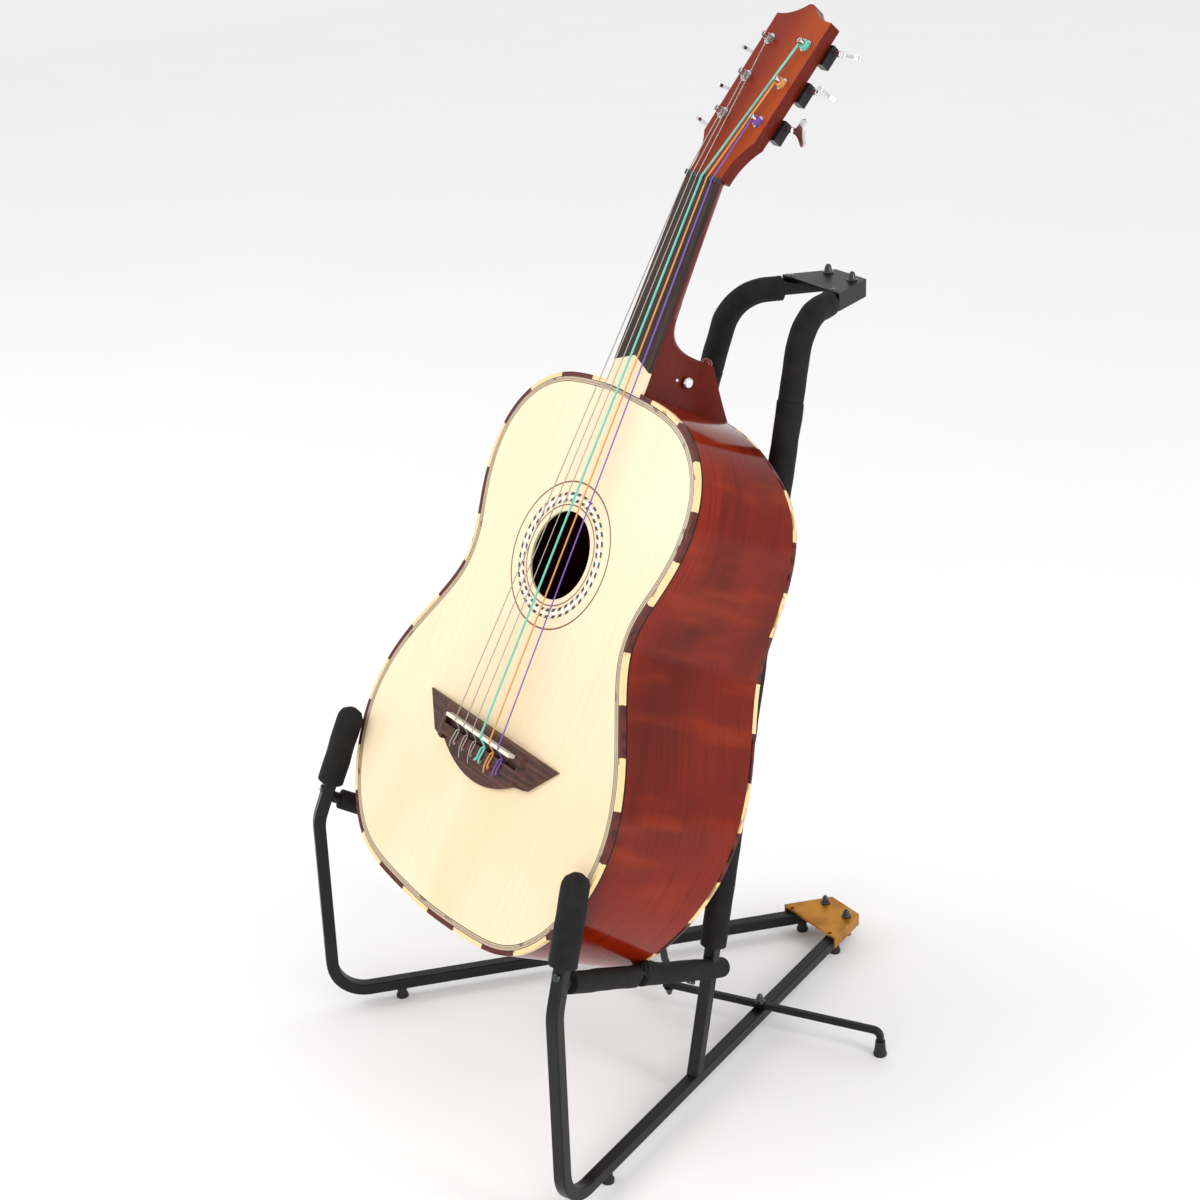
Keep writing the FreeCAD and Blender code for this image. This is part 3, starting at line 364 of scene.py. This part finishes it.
def arc_between(before, corner, after, radius, steps=14):
    """Points of the round between two straight runs that meet at a corner."""
    a = (Vector(before) - Vector(corner)).normalized()
    b = (Vector(after) - Vector(corner)).normalized()
    half = a.angle(b) / 2
    centre = Vector(corner) + (a + b).normalized() * radius / math.sin(half)
    start = Vector(corner) + a * radius / math.tan(half) - centre
    end = Vector(corner) + b * radius / math.tan(half) - centre
    out = []
    for i in range(steps + 1):
        mixed = start.slerp(end, i / steps)
        out.append(tuple(centre + mixed.normalized() * radius))
    return out


def settle(tube, names, gap=0.0006, reach=0.03):
    """Foam that would stand inside another piece is pressed back to that piece's surface."""
    for name in names:
        hard = nodes[name]
        for vertex in tube.data.vertices:
            near, spot, normal, _ = hard.closest_point_on_mesh(vertex.co, distance=reach)
            if near and (vertex.co - spot).dot(normal) < gap:
                vertex.co = spot + normal * gap


def swell(tube, seed, amount=0.0007, size=0.022):
    """Shallow uneven dents all over, as old foam has."""
    for vertex in tube.data.vertices:
        lump = noise.noise(Vector(vertex.co) / size + Vector((seed, 0, 0)))
        vertex.co += vertex.normal * lump * amount


HOOK_TIP = (0.6007, 0.4180)
HOOK_KNEE = (0.654, 0.272)
hook_way = (Vector(HOOK_TIP) - Vector(HOOK_KNEE)).normalized()
HOOK_FOAM_LENGTH = 0.101
HOOK_RADIUS, ARM_RADIUS, LOWER_RADIUS, UPPER_RADIUS = 0.016, 0.0124, 0.0157, 0.0149
DOME_HEIGHT, DOME_POWER, DOME_LEAST = 0.017, 2.3, 0.05
hook_start = Vector(HOOK_TIP) - hook_way * HOOK_FOAM_LENGTH
ARM_FRONT, ARM_REAR = (0.6263, 0.2973), (0.3290, 0.1453)
ARM_PAST_END = 0.012
arm_way = (Vector(ARM_REAR) - Vector(ARM_FRONT)).normalized()
arm_end = Vector(ARM_REAR) + arm_way * ARM_PAST_END
FOOT_S, FOOT_Z, UPRIGHT_LEAN = 0.381, 0.029, 0.305
SLEEVE_LOW, SLEEVE_JOINT, SLEEVE_TOP = 0.180, 0.798, 0.890
UPRIGHT_BEND = 0.055


def upright(z):
    """Point (s, z) on the centre line of a back upright."""
    return (FOOT_S - UPRIGHT_LEAN * (z - FOOT_Z), z)


SLEEVE_END = (0.058, SLEEVE_TOP)
for side in SIDES:
    body = "frame_" + side
    hook = foam_tube("hook_foam_" + side, run(hook_start, HOOK_TIP), HOOK_RADIUS, side, edge=0.003)
    # the moulded end closes over in a dome
    top = on_frame(*HOOK_TIP, side)
    up_way = (top - on_frame(*hook_start, side)).normalized()
    for vertex in hook.data.vertices:
        from_top = (top - vertex.co).dot(up_way)
        if from_top < DOME_HEIGHT:
            fallen = (DOME_HEIGHT - max(from_top, 0)) / DOME_HEIGHT
            shrink = math.sqrt(max(0.0, 1 - fallen ** DOME_POWER))
            centre_spot = top - up_way * from_top
            vertex.co = centre_spot + (vertex.co - centre_spot) * max(shrink, DOME_LEAST)
    arm = foam_tube("arm_foam_" + side, run(ARM_FRONT, arm_end), ARM_RADIUS, side, edge=0.0035)
    joint = upright(SLEEVE_JOINT)
    lower = foam_tube("back_foam_lower_" + side, run(upright(SLEEVE_LOW), joint), LOWER_RADIUS, side)
    bend = arc_between(joint, upright(SLEEVE_TOP), SLEEVE_END, UPRIGHT_BEND)
    upper_line = run(joint, bend[0]) + bend[1:-1] + run(bend[-1], SLEEVE_END)
    upper = foam_tube("back_foam_upper_" + side, upper_line, UPPER_RADIUS, side)
    for number, tube in enumerate((hook, arm, lower, upper)):
        swell(tube, seed=number * 3 + (side == "left"))
    settle(lower, ("back",))
    settle(upper, ("back",))
    settle(arm, ("ribs", "back_binding", "back"))
    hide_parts("hook_pad_" + side)
    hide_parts("arm_pad_" + side)
    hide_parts("back_sleeves_" + side)
    for tube in (hook, arm, lower, upper):
        foam.on(tube)
        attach(tube, body)

# ---------------------------------------------------------------- soundboard
# Two book-matched leaves of pale softwood joined on the centre line, fine straight grain along
# the string direction, under clear gloss lacquer that has only just begun to yellow.
GUITAR_AT = (0, REAR - 0.4084, 0.6579)
LEANING = (math.radians(90 - 27.7), 0, 0)
GUITAR = Matrix.Translation(GUITAR_AT) @ Euler(LEANING).to_matrix().to_4x4()
top_wood = Finish("pale_soundboard", (242, 222, 186), 0.3, Coat_Weight=0.3, Coat_Roughness=0.08)
across, along, out = top_wood.split(top_wood.place(GUITAR_AT, LEANING))
# the year lines run up the board, and the whole pattern drifts a little from side to side
drift = top_wood.noise(top_wood.join(across * 3.0, along * 0.7, 0.0), 1.0, 2.0)
lines = top_wood.noise(top_wood.join(abs(across) * 620.0 + drift * 9.0, along * 4.0, 0.0), 1.0, 2.0)
silk = top_wood.noise(top_wood.join(across * 900.0, along * 120.0, 0.0), 1.0, 1.0)
cloud = top_wood.noise(top_wood.join(across * 5.0, along * 2.2, 0.0), 1.0, 2.0)
warm = (0 - along).rise(-0.10, 0.42) * cloud.rise(0.38, 0.66)
middle_joint = 1 - abs(across).rise(0.0002, 0.0009)
base = top_wood.mix(lines.rise(0.42, 0.75) * 0.5, (246, 226, 190), (236, 208, 164))
base = top_wood.mix(warm * 0.6, base, (236, 202, 152))
base = top_wood.mix(middle_joint * 0.5, base, (236, 208, 160))
base = top_wood.mix(silk.rise(0.6, 0.8) * 0.25, base, (248, 234, 206))
top_wood.give(
    Base_Color=base,
    Roughness=0.27 + lines * 0.08,
    Normal=top_wood.bump(lines + silk, 0.05, 0.0002),
)
top_wood.on(nodes["soundboard"], nodes["top_extension"])

# ---------------------------------------------------------------- rosette
# Thin brown rings let into the soundboard around the hole, and between them a wide ring of black
# and white mosaic laid like a chain.
mosaic = Finish("rosette_mosaic", (240, 225, 200), 0.3, Coat_Weight=0.7, Coat_Roughness=0.08)
across, along, out = mosaic.split(mosaic.place(GUITAR_AT, LEANING))
radius = (across * across + along * along) ** 0.5
angle = along.math("ARCTAN2", across)
LINKS = 38
CHAIN_IN, CHAIN_OUT = 0.0613, 0.0726
INNER_RING, OUTER_RING = 0.0600, 0.0800
turns = angle * (LINKS / math.tau)
height = (radius - CHAIN_IN) / (CHAIN_OUT - CHAIN_IN)
# black tiles lean along both borders, half a step apart, with white lozenges linked between them
outer_tile = abs((turns + height * 0.7) % 1.0 - 0.5)
inner_tile = abs((turns + height * 0.7 + 0.5) % 1.0 - 0.5)
outer_row = (outer_tile < 0.27) * height.between(0.68, 0.97)
inner_row = (inner_tile < 0.27) * height.between(0.03, 0.32)
black_tiles = outer_row.most(inner_row)
diamond = (abs((turns + 0.35) % 1.0 - 0.5) * 2.0 + abs(height - 0.5) * 2.2) < 0.95
ring_edge = (height < 0.03).most(height > 0.97)
thin = (radius < INNER_RING).most(radius > OUTER_RING)
tiles = mosaic.mix(diamond * 0.85, (232, 210, 178), (255, 250, 240))
tiles = mosaic.mix(black_tiles, tiles, (28, 22, 18))
tiles = mosaic.mix(ring_edge * 0.6, tiles, (110, 84, 60))
tiles = mosaic.mix(thin, tiles, (128, 70, 42))
mosaic.give(Base_Color=tiles)
mosaic.on(nodes["rosette"])

# ---------------------------------------------------------------- bindings and purfling
# The rims of soundboard and back are bound with short blocks of pale maple and dark rosewood in
# turn; inside the front binding runs a herringbone strip between two dark lines.
BLOCK = 0.057
MIDDLE_Y = -0.12  # the bearing of a point on a rim is taken about this place on the centre line
TO_GUITAR = GUITAR.inverted()


def traced_copy(name, source):
    """Own copy of a rim, with its doubled corners merged, and its points in the guitar's own axes."""
    rim = nodes[source].copy()
    rim.data = nodes[source].data.copy()
    rim.name = name
    rim.parent = None
    rim.matrix_world = Matrix.Identity(4)
    for key in list(rim.keys()):
        if key.startswith("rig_"):
            del rim[key]
    bpy.context.collection.objects.link(rim)
    bpy.context.view_layer.objects.active = rim
    rim.select_set(True)
    bpy.ops.object.mode_set(mode="EDIT")
    bpy.ops.mesh.select_all(action="SELECT")
    bpy.ops.mesh.remove_doubles(threshold=0.00001)
    bpy.ops.object.mode_set(mode="OBJECT")
    return rim, [TO_GUITAR @ vertex.co for vertex in rim.data.vertices]


front_rim, front_flat = traced_copy("front_binding_blocks", "top_binding")
# the corners of the outward-facing wall give the body's outline, from the tail round to the tail again
wall = set()
for polygon in front_rim.data.polygons:
    facing_way = TO_GUITAR.to_3x3() @ polygon.normal
    middle = TO_GUITAR @ polygon.center
    radial = Vector((middle.x, middle.y - MIDDLE_Y, 0)).normalized()
    if abs(facing_way.z) < 0.5 and facing_way.dot(radial) > 0.5:
        wall.update(polygon.vertices)
corners = [front_flat[i] for i in wall]
walk = sorted((math.atan2(p.x, -(p.y - MIDDLE_Y)) % math.tau, p.x, p.y) for p in corners)
lengths = [0.0]
for (_, x0, y0), (_, x1, y1) in zip(walk, walk[1:]):
    lengths.append(lengths[-1] + math.hypot(x1 - x0, y1 - y0))
RIM_LENGTH = lengths[-1] + math.hypot(walk[0][1] - walk[-1][1], walk[0][2] - walk[-1][2])
outer_line = [Vector((x, y)) for _, x, y in walk]
outer_line.append(outer_line[0])


def from_edge(point):
    """Distance inwards from the body's outline, and how far round the outline the foot lies."""
    best = (math.inf, 0.0)
    spot = Vector((point.x, point.y))
    for i, (a, b) in enumerate(zip(outer_line, outer_line[1:])):
        side_way = b - a
        share = max(0.0, min(1.0, (spot - a).dot(side_way) / max(side_way.length_squared, 1e-12)))
        gap = (spot - a - side_way * share).length
        if gap < best[0]:
            best = (gap, lengths[i] + share * side_way.length)
    return best


def lay_map(rim, flat):
    """UV map of a rim: metres run round the outline, and metres inwards from it."""
    run_map = rim.data.uv_layers.new(name="run")
    found = [from_edge(p) for p in flat]
    inward = [gap for gap, _ in found]
    run_of = [place for _, place in found]
    for polygon in rim.data.polygons:
        values = [run_of[rim.data.loops[i].vertex_index] for i in polygon.loop_indices]
        crossing = max(values) - min(values) > RIM_LENGTH / 2
        for i, value in zip(polygon.loop_indices, values):
            if crossing and value < RIM_LENGTH / 2:
                value += RIM_LENGTH
            run_map.data[i].uv = (value, inward[rim.data.loops[i].vertex_index])
    rim.select_set(False)


lay_map(front_rim, front_flat)
back_rim, back_flat = traced_copy("back_binding_blocks", "back_binding")
lay_map(back_rim, back_flat)
strip, strip_flat = traced_copy("herringbone_strip", "top_purfling")
lay_map(strip, strip_flat)

blocks = Finish("maple_and_rosewood_blocks", (230, 190, 130), 0.3, Specular_IOR_Level=0.3)
run_uv = blocks.node("ShaderNodeUVMap", {"uv_map": "run"})
metres, inwards, _ = blocks.split(run_uv)
step = metres / BLOCK
dark = (step % 2.0) < 1.0
grain = blocks.noise(blocks.join(metres * 60.0, inwards * 1500.0, 0.0), 1.0, 3.0)
tint = blocks.noise(blocks.join(step.math("FLOOR") * 7.3, 0.0, 0.0), 1.0, 0.0)
maple = blocks.mix(grain.rise(0.3, 0.8) * 0.6, (244, 207, 148), (226, 176, 112))
maple = blocks.mix(tint, maple, (250, 218, 166))
rosewood = blocks.mix(grain.rise(0.35, 0.7), (104, 34, 18), (56, 18, 14))
seam = 1 - abs((step + 0.5) % 1.0 - 0.5).rise(0.002, 0.008)
body_colour = blocks.mix(dark, maple, rosewood)
body_colour = blocks.mix(seam * 0.7, body_colour, (60, 34, 24))
blocks.give(Base_Color=body_colour, Roughness=0.26 + grain * 0.1)
blocks.on(front_rim, back_rim)
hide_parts("top_binding")
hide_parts("back_binding")

STRIP_FROM, STRIP_WIDE, THREAD = 0.005, 0.0065, 0.0021
herring = Finish("herringbone", (150, 120, 90), 0.32, Coat_Weight=0.6, Coat_Roughness=0.1)
metres, inwards, _ = herring.split(herring.node("ShaderNodeUVMap", {"uv_map": "run"}))
depth = (inwards - STRIP_FROM) / STRIP_WIDE
lean = metres / THREAD + abs(depth - 0.5) * 1.6
light_thread = (lean % 1.0) < 0.5
line_pair = (depth < 0.16).most(depth > 0.84)
colour = herring.mix(light_thread, (78, 56, 44), (214, 190, 156))
colour = herring.mix(line_pair, colour, (52, 36, 30))
pale_pair = depth.between(0.16, 0.26).most(depth.between(0.74, 0.84))
colour = herring.mix(pale_pair, colour, (226, 202, 164))
herring.give(Base_Color=colour)
herring.on(strip)
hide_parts("top_purfling")
for rim in (front_rim, back_rim, strip):
    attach(rim, "guitar")

# ---------------------------------------------------------------- ribs and back
# The deep sides are bent from wide boards of reddish tropical wood, and the back is two boards
# meeting at a keel. Both are stained red-brown and carry a thick clear gloss lacquer.
def red_wood(name, light, dark_tone, flame, rough=0.13):
    """Stained figured board; the grain runs round the body, across the depth of the ribs."""
    finish = Finish(name, light, rough, Specular_IOR_Level=0.22)
    across, along, out = finish.split(finish.place(GUITAR_AT, LEANING))
    swirl = finish.noise(finish.join(across * 2.2, along * 2.2, out * 5.0), 1.0, 3.0, 0.55, 0.6)
    fibres = finish.noise(finish.join(across * 12.0, along * 12.0, out * 260.0 + swirl * 14.0), 1.0, 3.0)
    pores = finish.noise(finish.join(across * 90.0, along * 90.0, out * 1600.0), 1.0, 2.0)
    ripple = finish.noise(finish.join(across * 30.0, along * 30.0, out * 7.0), 1.0, 2.0)
    colour = finish.mix(swirl.rise(0.3, 0.7), light, dark_tone)
    colour = finish.mix(fibres.rise(0.42, 0.8) * 0.55, colour, dark_tone)
    colour = finish.mix(ripple.rise(0.5, 0.8) * 0.45, colour, flame)
    colour = finish.mix(pores.rise(0.62, 0.75) * 0.5, colour, (40, 12, 6))
    return finish, out, colour, fibres


EDGE_LINE = (-0.0082, -0.0060)
rib_wood, out, colour, fibres = red_wood("lacquered_rib_wood", (136, 32, 6), (78, 16, 7), (162, 54, 8))
edge_line = out.between(*EDGE_LINE)
colour = rib_wood.mix(edge_line, colour, (34, 12, 10))
rib_wood.give(Base_Color=colour, Normal=rib_wood.bump(fibres, 0.04, 0.0002))
rib_wood.on(nodes["ribs"])
back_wood, _, colour, fibres = red_wood("lacquered_back_wood", (120, 28, 6), (68, 14, 6), (148, 46, 9))
back_wood.give(Base_Color=colour, Normal=back_wood.bump(fibres, 0.04, 0.0002))
back_wood.on(nodes["back"])
KEEL_PAIR, KEEL_EDGE = 0.012, 0.0038
keel = Finish("keel_strip", (216, 170, 110), 0.25, Coat_Weight=0.9, Coat_Roughness=0.05)
across, along, _ = keel.split(keel.place(GUITAR_AT, LEANING))
ladder = ((along / KEEL_PAIR) % 1.0) < 0.5
keel_edge = abs(across) > KEEL_EDGE
keel.give(Base_Color=keel.mix(keel_edge.most(ladder), (226, 182, 120), (60, 30, 22)))
keel.on(nodes["back_ridge"])

# Inside, the wood is bare: cedar linings, blocks and bars seen only through the soundhole.
bare = Finish("bare_inner_wood", (196, 150, 96), 0.75)
bare_grain = bare.noise(bare.place(stretch=(0.02, 1, 1)), 90, 3.0)
bare.give(Base_Color=bare.mix(bare_grain, (180, 132, 84), (212, 170, 116)))
bare.on(nodes["linings_and_blocks"], nodes["top_braces"])

# ---------------------------------------------------------------- neck, heel and headstock
# Carved from one reddish cedar blank, under the same gloss lacquer. Surfaces that face the way the head's
# face does are lighter and more orange than its sides, neck and heel; across the head's face the colour is
# painted lighter towards the treble edge, as painted light.
neck_wood = Finish("lacquered_neck_wood", (150, 54, 20), 0.3, Specular_IOR_Level=0.22)
across, along, out = neck_wood.split(neck_wood.place(GUITAR_AT, LEANING))
swirl = neck_wood.noise(neck_wood.join(across * 6.0, along * 2.0, out * 6.0), 1.0, 2.0)
fibres = neck_wood.noise(neck_wood.join(across * 420.0 + swirl * 20.0, along * 9.0, out * 420.0), 1.0, 3.0)
facing = neck_wood.node("ShaderNodeNewGeometry", out=1)
head_way = tuple(GUITAR.to_3x3() @ Vector((0, 0.255, 0.967)))
dot_product = {"operation": "DOT_PRODUCT"}
likeness = neck_wood.node("ShaderNodeVectorMath", dot_product, {0: facing, 1: head_way}, out=1)
head_front = likeness.rise(0.75, 0.95)
dark_side = neck_wood.mix(fibres.rise(0.35, 0.75) * 0.6, (104, 24, 6), (64, 12, 5))
# painted light: the head's face is painted lighter towards its treble edge, as if lit from that side
painted_light_across_face = neck_wood.mix(across.rise(-0.03, 0.035), (128, 34, 8), (168, 66, 10))
face_with_painted_light_gradient = neck_wood.mix(fibres.rise(0.35, 0.75) * 0.22, painted_light_across_face, (112, 28, 8))
neck_wood.give(
    Base_Color=neck_wood.mix(head_front, dark_side, face_with_painted_light_gradient),
    Normal=neck_wood.bump(fibres, 0.05, 0.0002),
)
neck_wood.on(nodes["neck"], nodes["headstock"])
cap_wood = Finish("heel_cap_wood", (120, 30, 10), 0.18, Specular_IOR_Level=0.4)
cap_grain = cap_wood.noise(cap_wood.place(), 160, 2.0)
cap_wood.give(Base_Color=cap_wood.mix(cap_grain, (132, 36, 12), (84, 18, 8)))
cap_wood.on(nodes["heel_cap"])

# ---------------------------------------------------------------- fingerboard and bridge
# Open-pored dark rosewood, oiled to a dull sheen. The fingerboard has no frets.
rosewood_finish = Finish("oiled_rosewood", (60, 36, 28), 0.42, Specular_IOR_Level=0.3)
across, along, out = rosewood_finish.split(rosewood_finish.place(GUITAR_AT, LEANING))
streaks = rosewood_finish.noise(rosewood_finish.join(across * 240.0, along * 7.0, out * 240.0), 1.0, 3.0, 0.6)
open_pores = rosewood_finish.noise(rosewood_finish.join(across * 1500.0, along * 70.0, out * 900.0), 1.0, 1.0)
colour = rosewood_finish.mix(streaks.rise(0.35, 0.7), (62, 34, 26), (24, 12, 10))
colour = rosewood_finish.mix(open_pores.rise(0.6, 0.72) * 0.8, colour, (20, 11, 9))
rosewood_finish.give(
    Base_Color=colour,
    Roughness=0.36 + streaks * 0.15,
    Normal=rosewood_finish.bump(open_pores * -1.0 + streaks * 0.3, 0.25, 0.0003),
)
rosewood_finish.on(nodes["fingerboard"])
bridge_wood = Finish("bridge_rosewood", (84, 50, 38), 0.45, Specular_IOR_Level=0.3)
across, along, out = bridge_wood.split(bridge_wood.place(GUITAR_AT, LEANING))
streaks = bridge_wood.noise(bridge_wood.join(across * 9.0, along * 260.0, out * 260.0), 1.0, 3.0, 0.6)
open_pores = bridge_wood.noise(bridge_wood.join(across * 70.0, along * 1500.0, out * 1500.0), 1.0, 1.0)
colour = bridge_wood.mix(streaks.rise(0.3, 0.7), (92, 52, 38), (44, 24, 19))
colour = bridge_wood.mix(open_pores.rise(0.6, 0.72) * 0.8, colour, (30, 17, 14))
bridge_wood.give(
    Base_Color=colour,
    Normal=bridge_wood.bump(open_pores * -1.0 + streaks * 0.3, 0.25, 0.0003),
)
bridge_wood.on(nodes["bridge"])
bone = Finish("polished_bone", (240, 234, 216), 0.28, Coat_Weight=0.3)
bone_fleck = bone.noise(bone.place(stretch=(0.1, 1, 1)), 500, 2.0)
bone.give(
    Base_Color=bone.mix(bone_fleck, (246, 241, 226), (226, 216, 192)),
    Roughness=0.24 + bone_fleck * 0.12,
)
bone.on(nodes["saddle"])
black_nut = Finish("dark_nut", (24, 22, 22), 0.3)
nut_fleck = black_nut.noise(black_nut.place(), 400, 2.0)
black_nut.give(Base_Color=black_nut.mix(nut_fleck, (18, 16, 16), (44, 38, 36)))
black_nut.on(nodes["nut"])

# ---------------------------------------------------------------- tuning machines
# Open-geared machines: chromed posts, bushings, shafts and butterfly buttons on black plates.
chrome = Finish("chrome_plating", (220, 220, 224), 0.08, Metallic=1.0)
haze = chrome.noise(chrome.place(), 220, 2.0)
chrome.give(Base_Color=chrome.mix(haze, (206, 206, 212), (236, 236, 238)), Roughness=0.05 + haze * 0.1)
for side in SIDES:
    for number in (1, 2, 3):
        ending = "_%s_%d" % (side, number)
        chrome.on(nodes["tuner_post" + ending], nodes["tuner_button" + ending])
chrome.on(nodes["tuner_bushings"], nodes["strap_button"])
plate_black = Finish("black_machine_plate", (26, 26, 27), 0.3, Metallic=0.4)
plate_mark = plate_black.noise(plate_black.place(), 160, 2.0)
plate_black.give(
    Base_Color=plate_black.mix(plate_mark, (18, 18, 19), (42, 42, 44)),
    Roughness=0.24 + plate_mark * 0.15,
)
plate_black.on(nodes["tuner_housings"])

# ---------------------------------------------------------------- strings
# Three silver wound strings go to the bass-side posts and three coloured nylon ones to the treble
# side: mint, orange and purple. Each is wound round its post and tied off over the bridge.
MM = 0.001
WINDING = 0.0006  # metres from one turn of the wrapping wire to the next
SADDLE_V, SADDLE_TOP, NUT_V, NUT_TOP = -221.0, 21.0, 449.0, 3.2
RADII = (0.75, 0.7, 0.65, 1.35, 1.0, 0.85)
SADDLE_PITCH, NUT_PITCH = 18.1, 9.0
POST_X, POST_RADIUS, COIL_TOP = 31.5, 3.3, 7.2
TURNS, STEPS_PER_TURN, COIL_GAP = 3.5, 20, 0.15
TILT = math.radians(14.8)
HEAD_FOOT_V, HEAD_FOOT_OUT = 452, -2.6
POSTS = (
    ("left", 75.0), ("left", 125.0), ("left", 175.0),
    ("right", 175.0), ("right", 125.0), ("right", 75.0),
)
TINTS = (
    ((196, 190, 182), 0.9), ((196, 190, 182), 0.9), ((200, 194, 186), 0.9),
    ((120, 222, 200), 0.0), ((240, 166, 84), 0.0), ((128, 84, 190), 0.0),
)


def head_point(x, height, up):
    """Point on the headstock's face, which tilts back from the nut, in the guitar's own axes."""
    return Vector((x, HEAD_FOOT_V + height * math.cos(TILT) + up * math.sin(TILT),
                   HEAD_FOOT_OUT - height * math.sin(TILT) + up * math.cos(TILT)))


def wire(name, points, thickness):
    """A round wire through points given in the guitar's axes in millimetres."""
    line = bpy.data.curves.new(name, "CURVE")
    line.dimensions = "3D"
    spline = line.splines.new("POLY")
    spline.points.add(len(points) - 1)
    for knot, point in zip(spline.points, points):
        knot.co = (*(GUITAR @ (Vector(point) * MM)), 1)
    line.bevel_depth = thickness * MM
    line.bevel_resolution = 3
    line.use_fill_caps = True
    made = bpy.data.objects.new(name, line)
    bpy.context.collection.objects.link(made)
    bpy.context.view_layer.objects.active = made
    made.select_set(True)
    bpy.ops.object.convert(target="MESH")
    made = active()
    bpy.ops.object.shade_smooth()
    made.select_set(False)
    return made


def curve_through(points, steps=8):
    """Smooth line through a few points, with extra points between them."""
    out = []
    for i in range(len(points) - 1):
        p0 = Vector(points[max(i - 1, 0)])
        p1, p2 = Vector(points[i]), Vector(points[i + 1])
        p3 = Vector(points[min(i + 2, len(points) - 1)])
        for k in range(steps):
            t = k / steps
            out.append(0.5 * ((2 * p1) + (p2 - p0) * t + (2 * p0 - 5 * p1 + 4 * p2 - p3) * t * t
                              + (3 * p1 - p0 - 3 * p2 + p3) * t ** 3))
    out.append(Vector(points[-1]))
    return out


# each loose tail: how far sideways and down the board it reaches, and its height above the board
TAILS = ((-9, -13, 9), (-4, -17, 9), (-2, -16, 10), (-6, -7, 14), (-7, -14, 9), (-8, -13, 9))
for i, (radius, (side, row), (tint, shine)) in enumerate(zip(RADII, POSTS, TINTS)):
    sign = 1 if side == "right" else -1
    at_saddle = (i - 2.5) * SADDLE_PITCH
    at_nut = (i - 2.5) * NUT_PITCH
    post_reach = POST_RADIUS + radius
    # from the tie block, over the saddle, straight to the nut and on to the post
    start = [(at_saddle, SADDLE_V - 14, 9.5), (at_saddle, SADDLE_V - 8, 12.6)]
    line_points = start + [(at_saddle, SADDLE_V, SADDLE_TOP + radius), (at_nut, NUT_V, NUT_TOP + radius)]
    first_bearing = math.pi if side == "right" else 0
    for k in range(int(TURNS * STEPS_PER_TURN) + 1):
        bearing = first_bearing - sign * k * math.tau / STEPS_PER_TURN
        x = sign * POST_X + post_reach * math.cos(bearing)
        y = row + post_reach * math.sin(bearing)
        line_points.append(head_point(x, y, COIL_TOP - k / STEPS_PER_TURN * (2 * radius + COIL_GAP)))
    string = wire("string_%d" % (i + 1), line_points, radius)
    finish = Finish("string_finish_%d" % (i + 1), tint, 0.3, Metallic=shine)
    if shine:
        across, along, out = finish.split(finish.place(GUITAR_AT, LEANING))
        # painted shade: each turn of the wrapping wire darkens towards its end, a painted dark band in the
        # groove before the next turn
        winding_with_painted_groove_shade = (along / WINDING) % 1.0
        finish.give(
            Base_Color=finish.mix(winding_with_painted_groove_shade, (214, 206, 196), (132, 126, 120)),
            Normal=finish.bump(winding_with_painted_groove_shade, 0.3, 0.0002),
        )
    else:
        worn = finish.noise(finish.place(), 240, 2.0)
        deeper = tuple(int(level * 0.86) for level in tint)
        finish.give(Base_Color=finish.mix(worn, tint, deeper))
    # loop over the tie block, round the string itself, and a loose tail
    tail = TAILS[i]
    knot = curve_through([
        (at_saddle, SADDLE_V - 26, 9.5), (at_saddle + 0.4, SADDLE_V - 29.5, 11.0),
        (at_saddle + 1.2, SADDLE_V - 26, 13.6), (at_saddle + 2.4, SADDLE_V - 19, 13.6),
        (at_saddle + 2.8, SADDLE_V - 12.5, 12.8), (at_saddle + 0.6, SADDLE_V - 10.5, 10.6),
        (at_saddle - 2.2, SADDLE_V - 12.5, 12.4), (at_saddle - 2.2, SADDLE_V - 18, 13.9),
        (at_saddle + tail[0] * 0.5, SADDLE_V - 22 + tail[1] * 0.4, 13.9),
        (at_saddle + tail[0], SADDLE_V - 22 + tail[1], tail[2]),
    ])
    tie = wire("string_tie_%d" % (i + 1), knot, radius * 0.95)
    finish.on(string, tie)
    if i == 0:
        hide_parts("wound_strings")
    if i == 3:
        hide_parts("nylon_strings")
    for made in (string, tie):
        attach(made, "guitar")
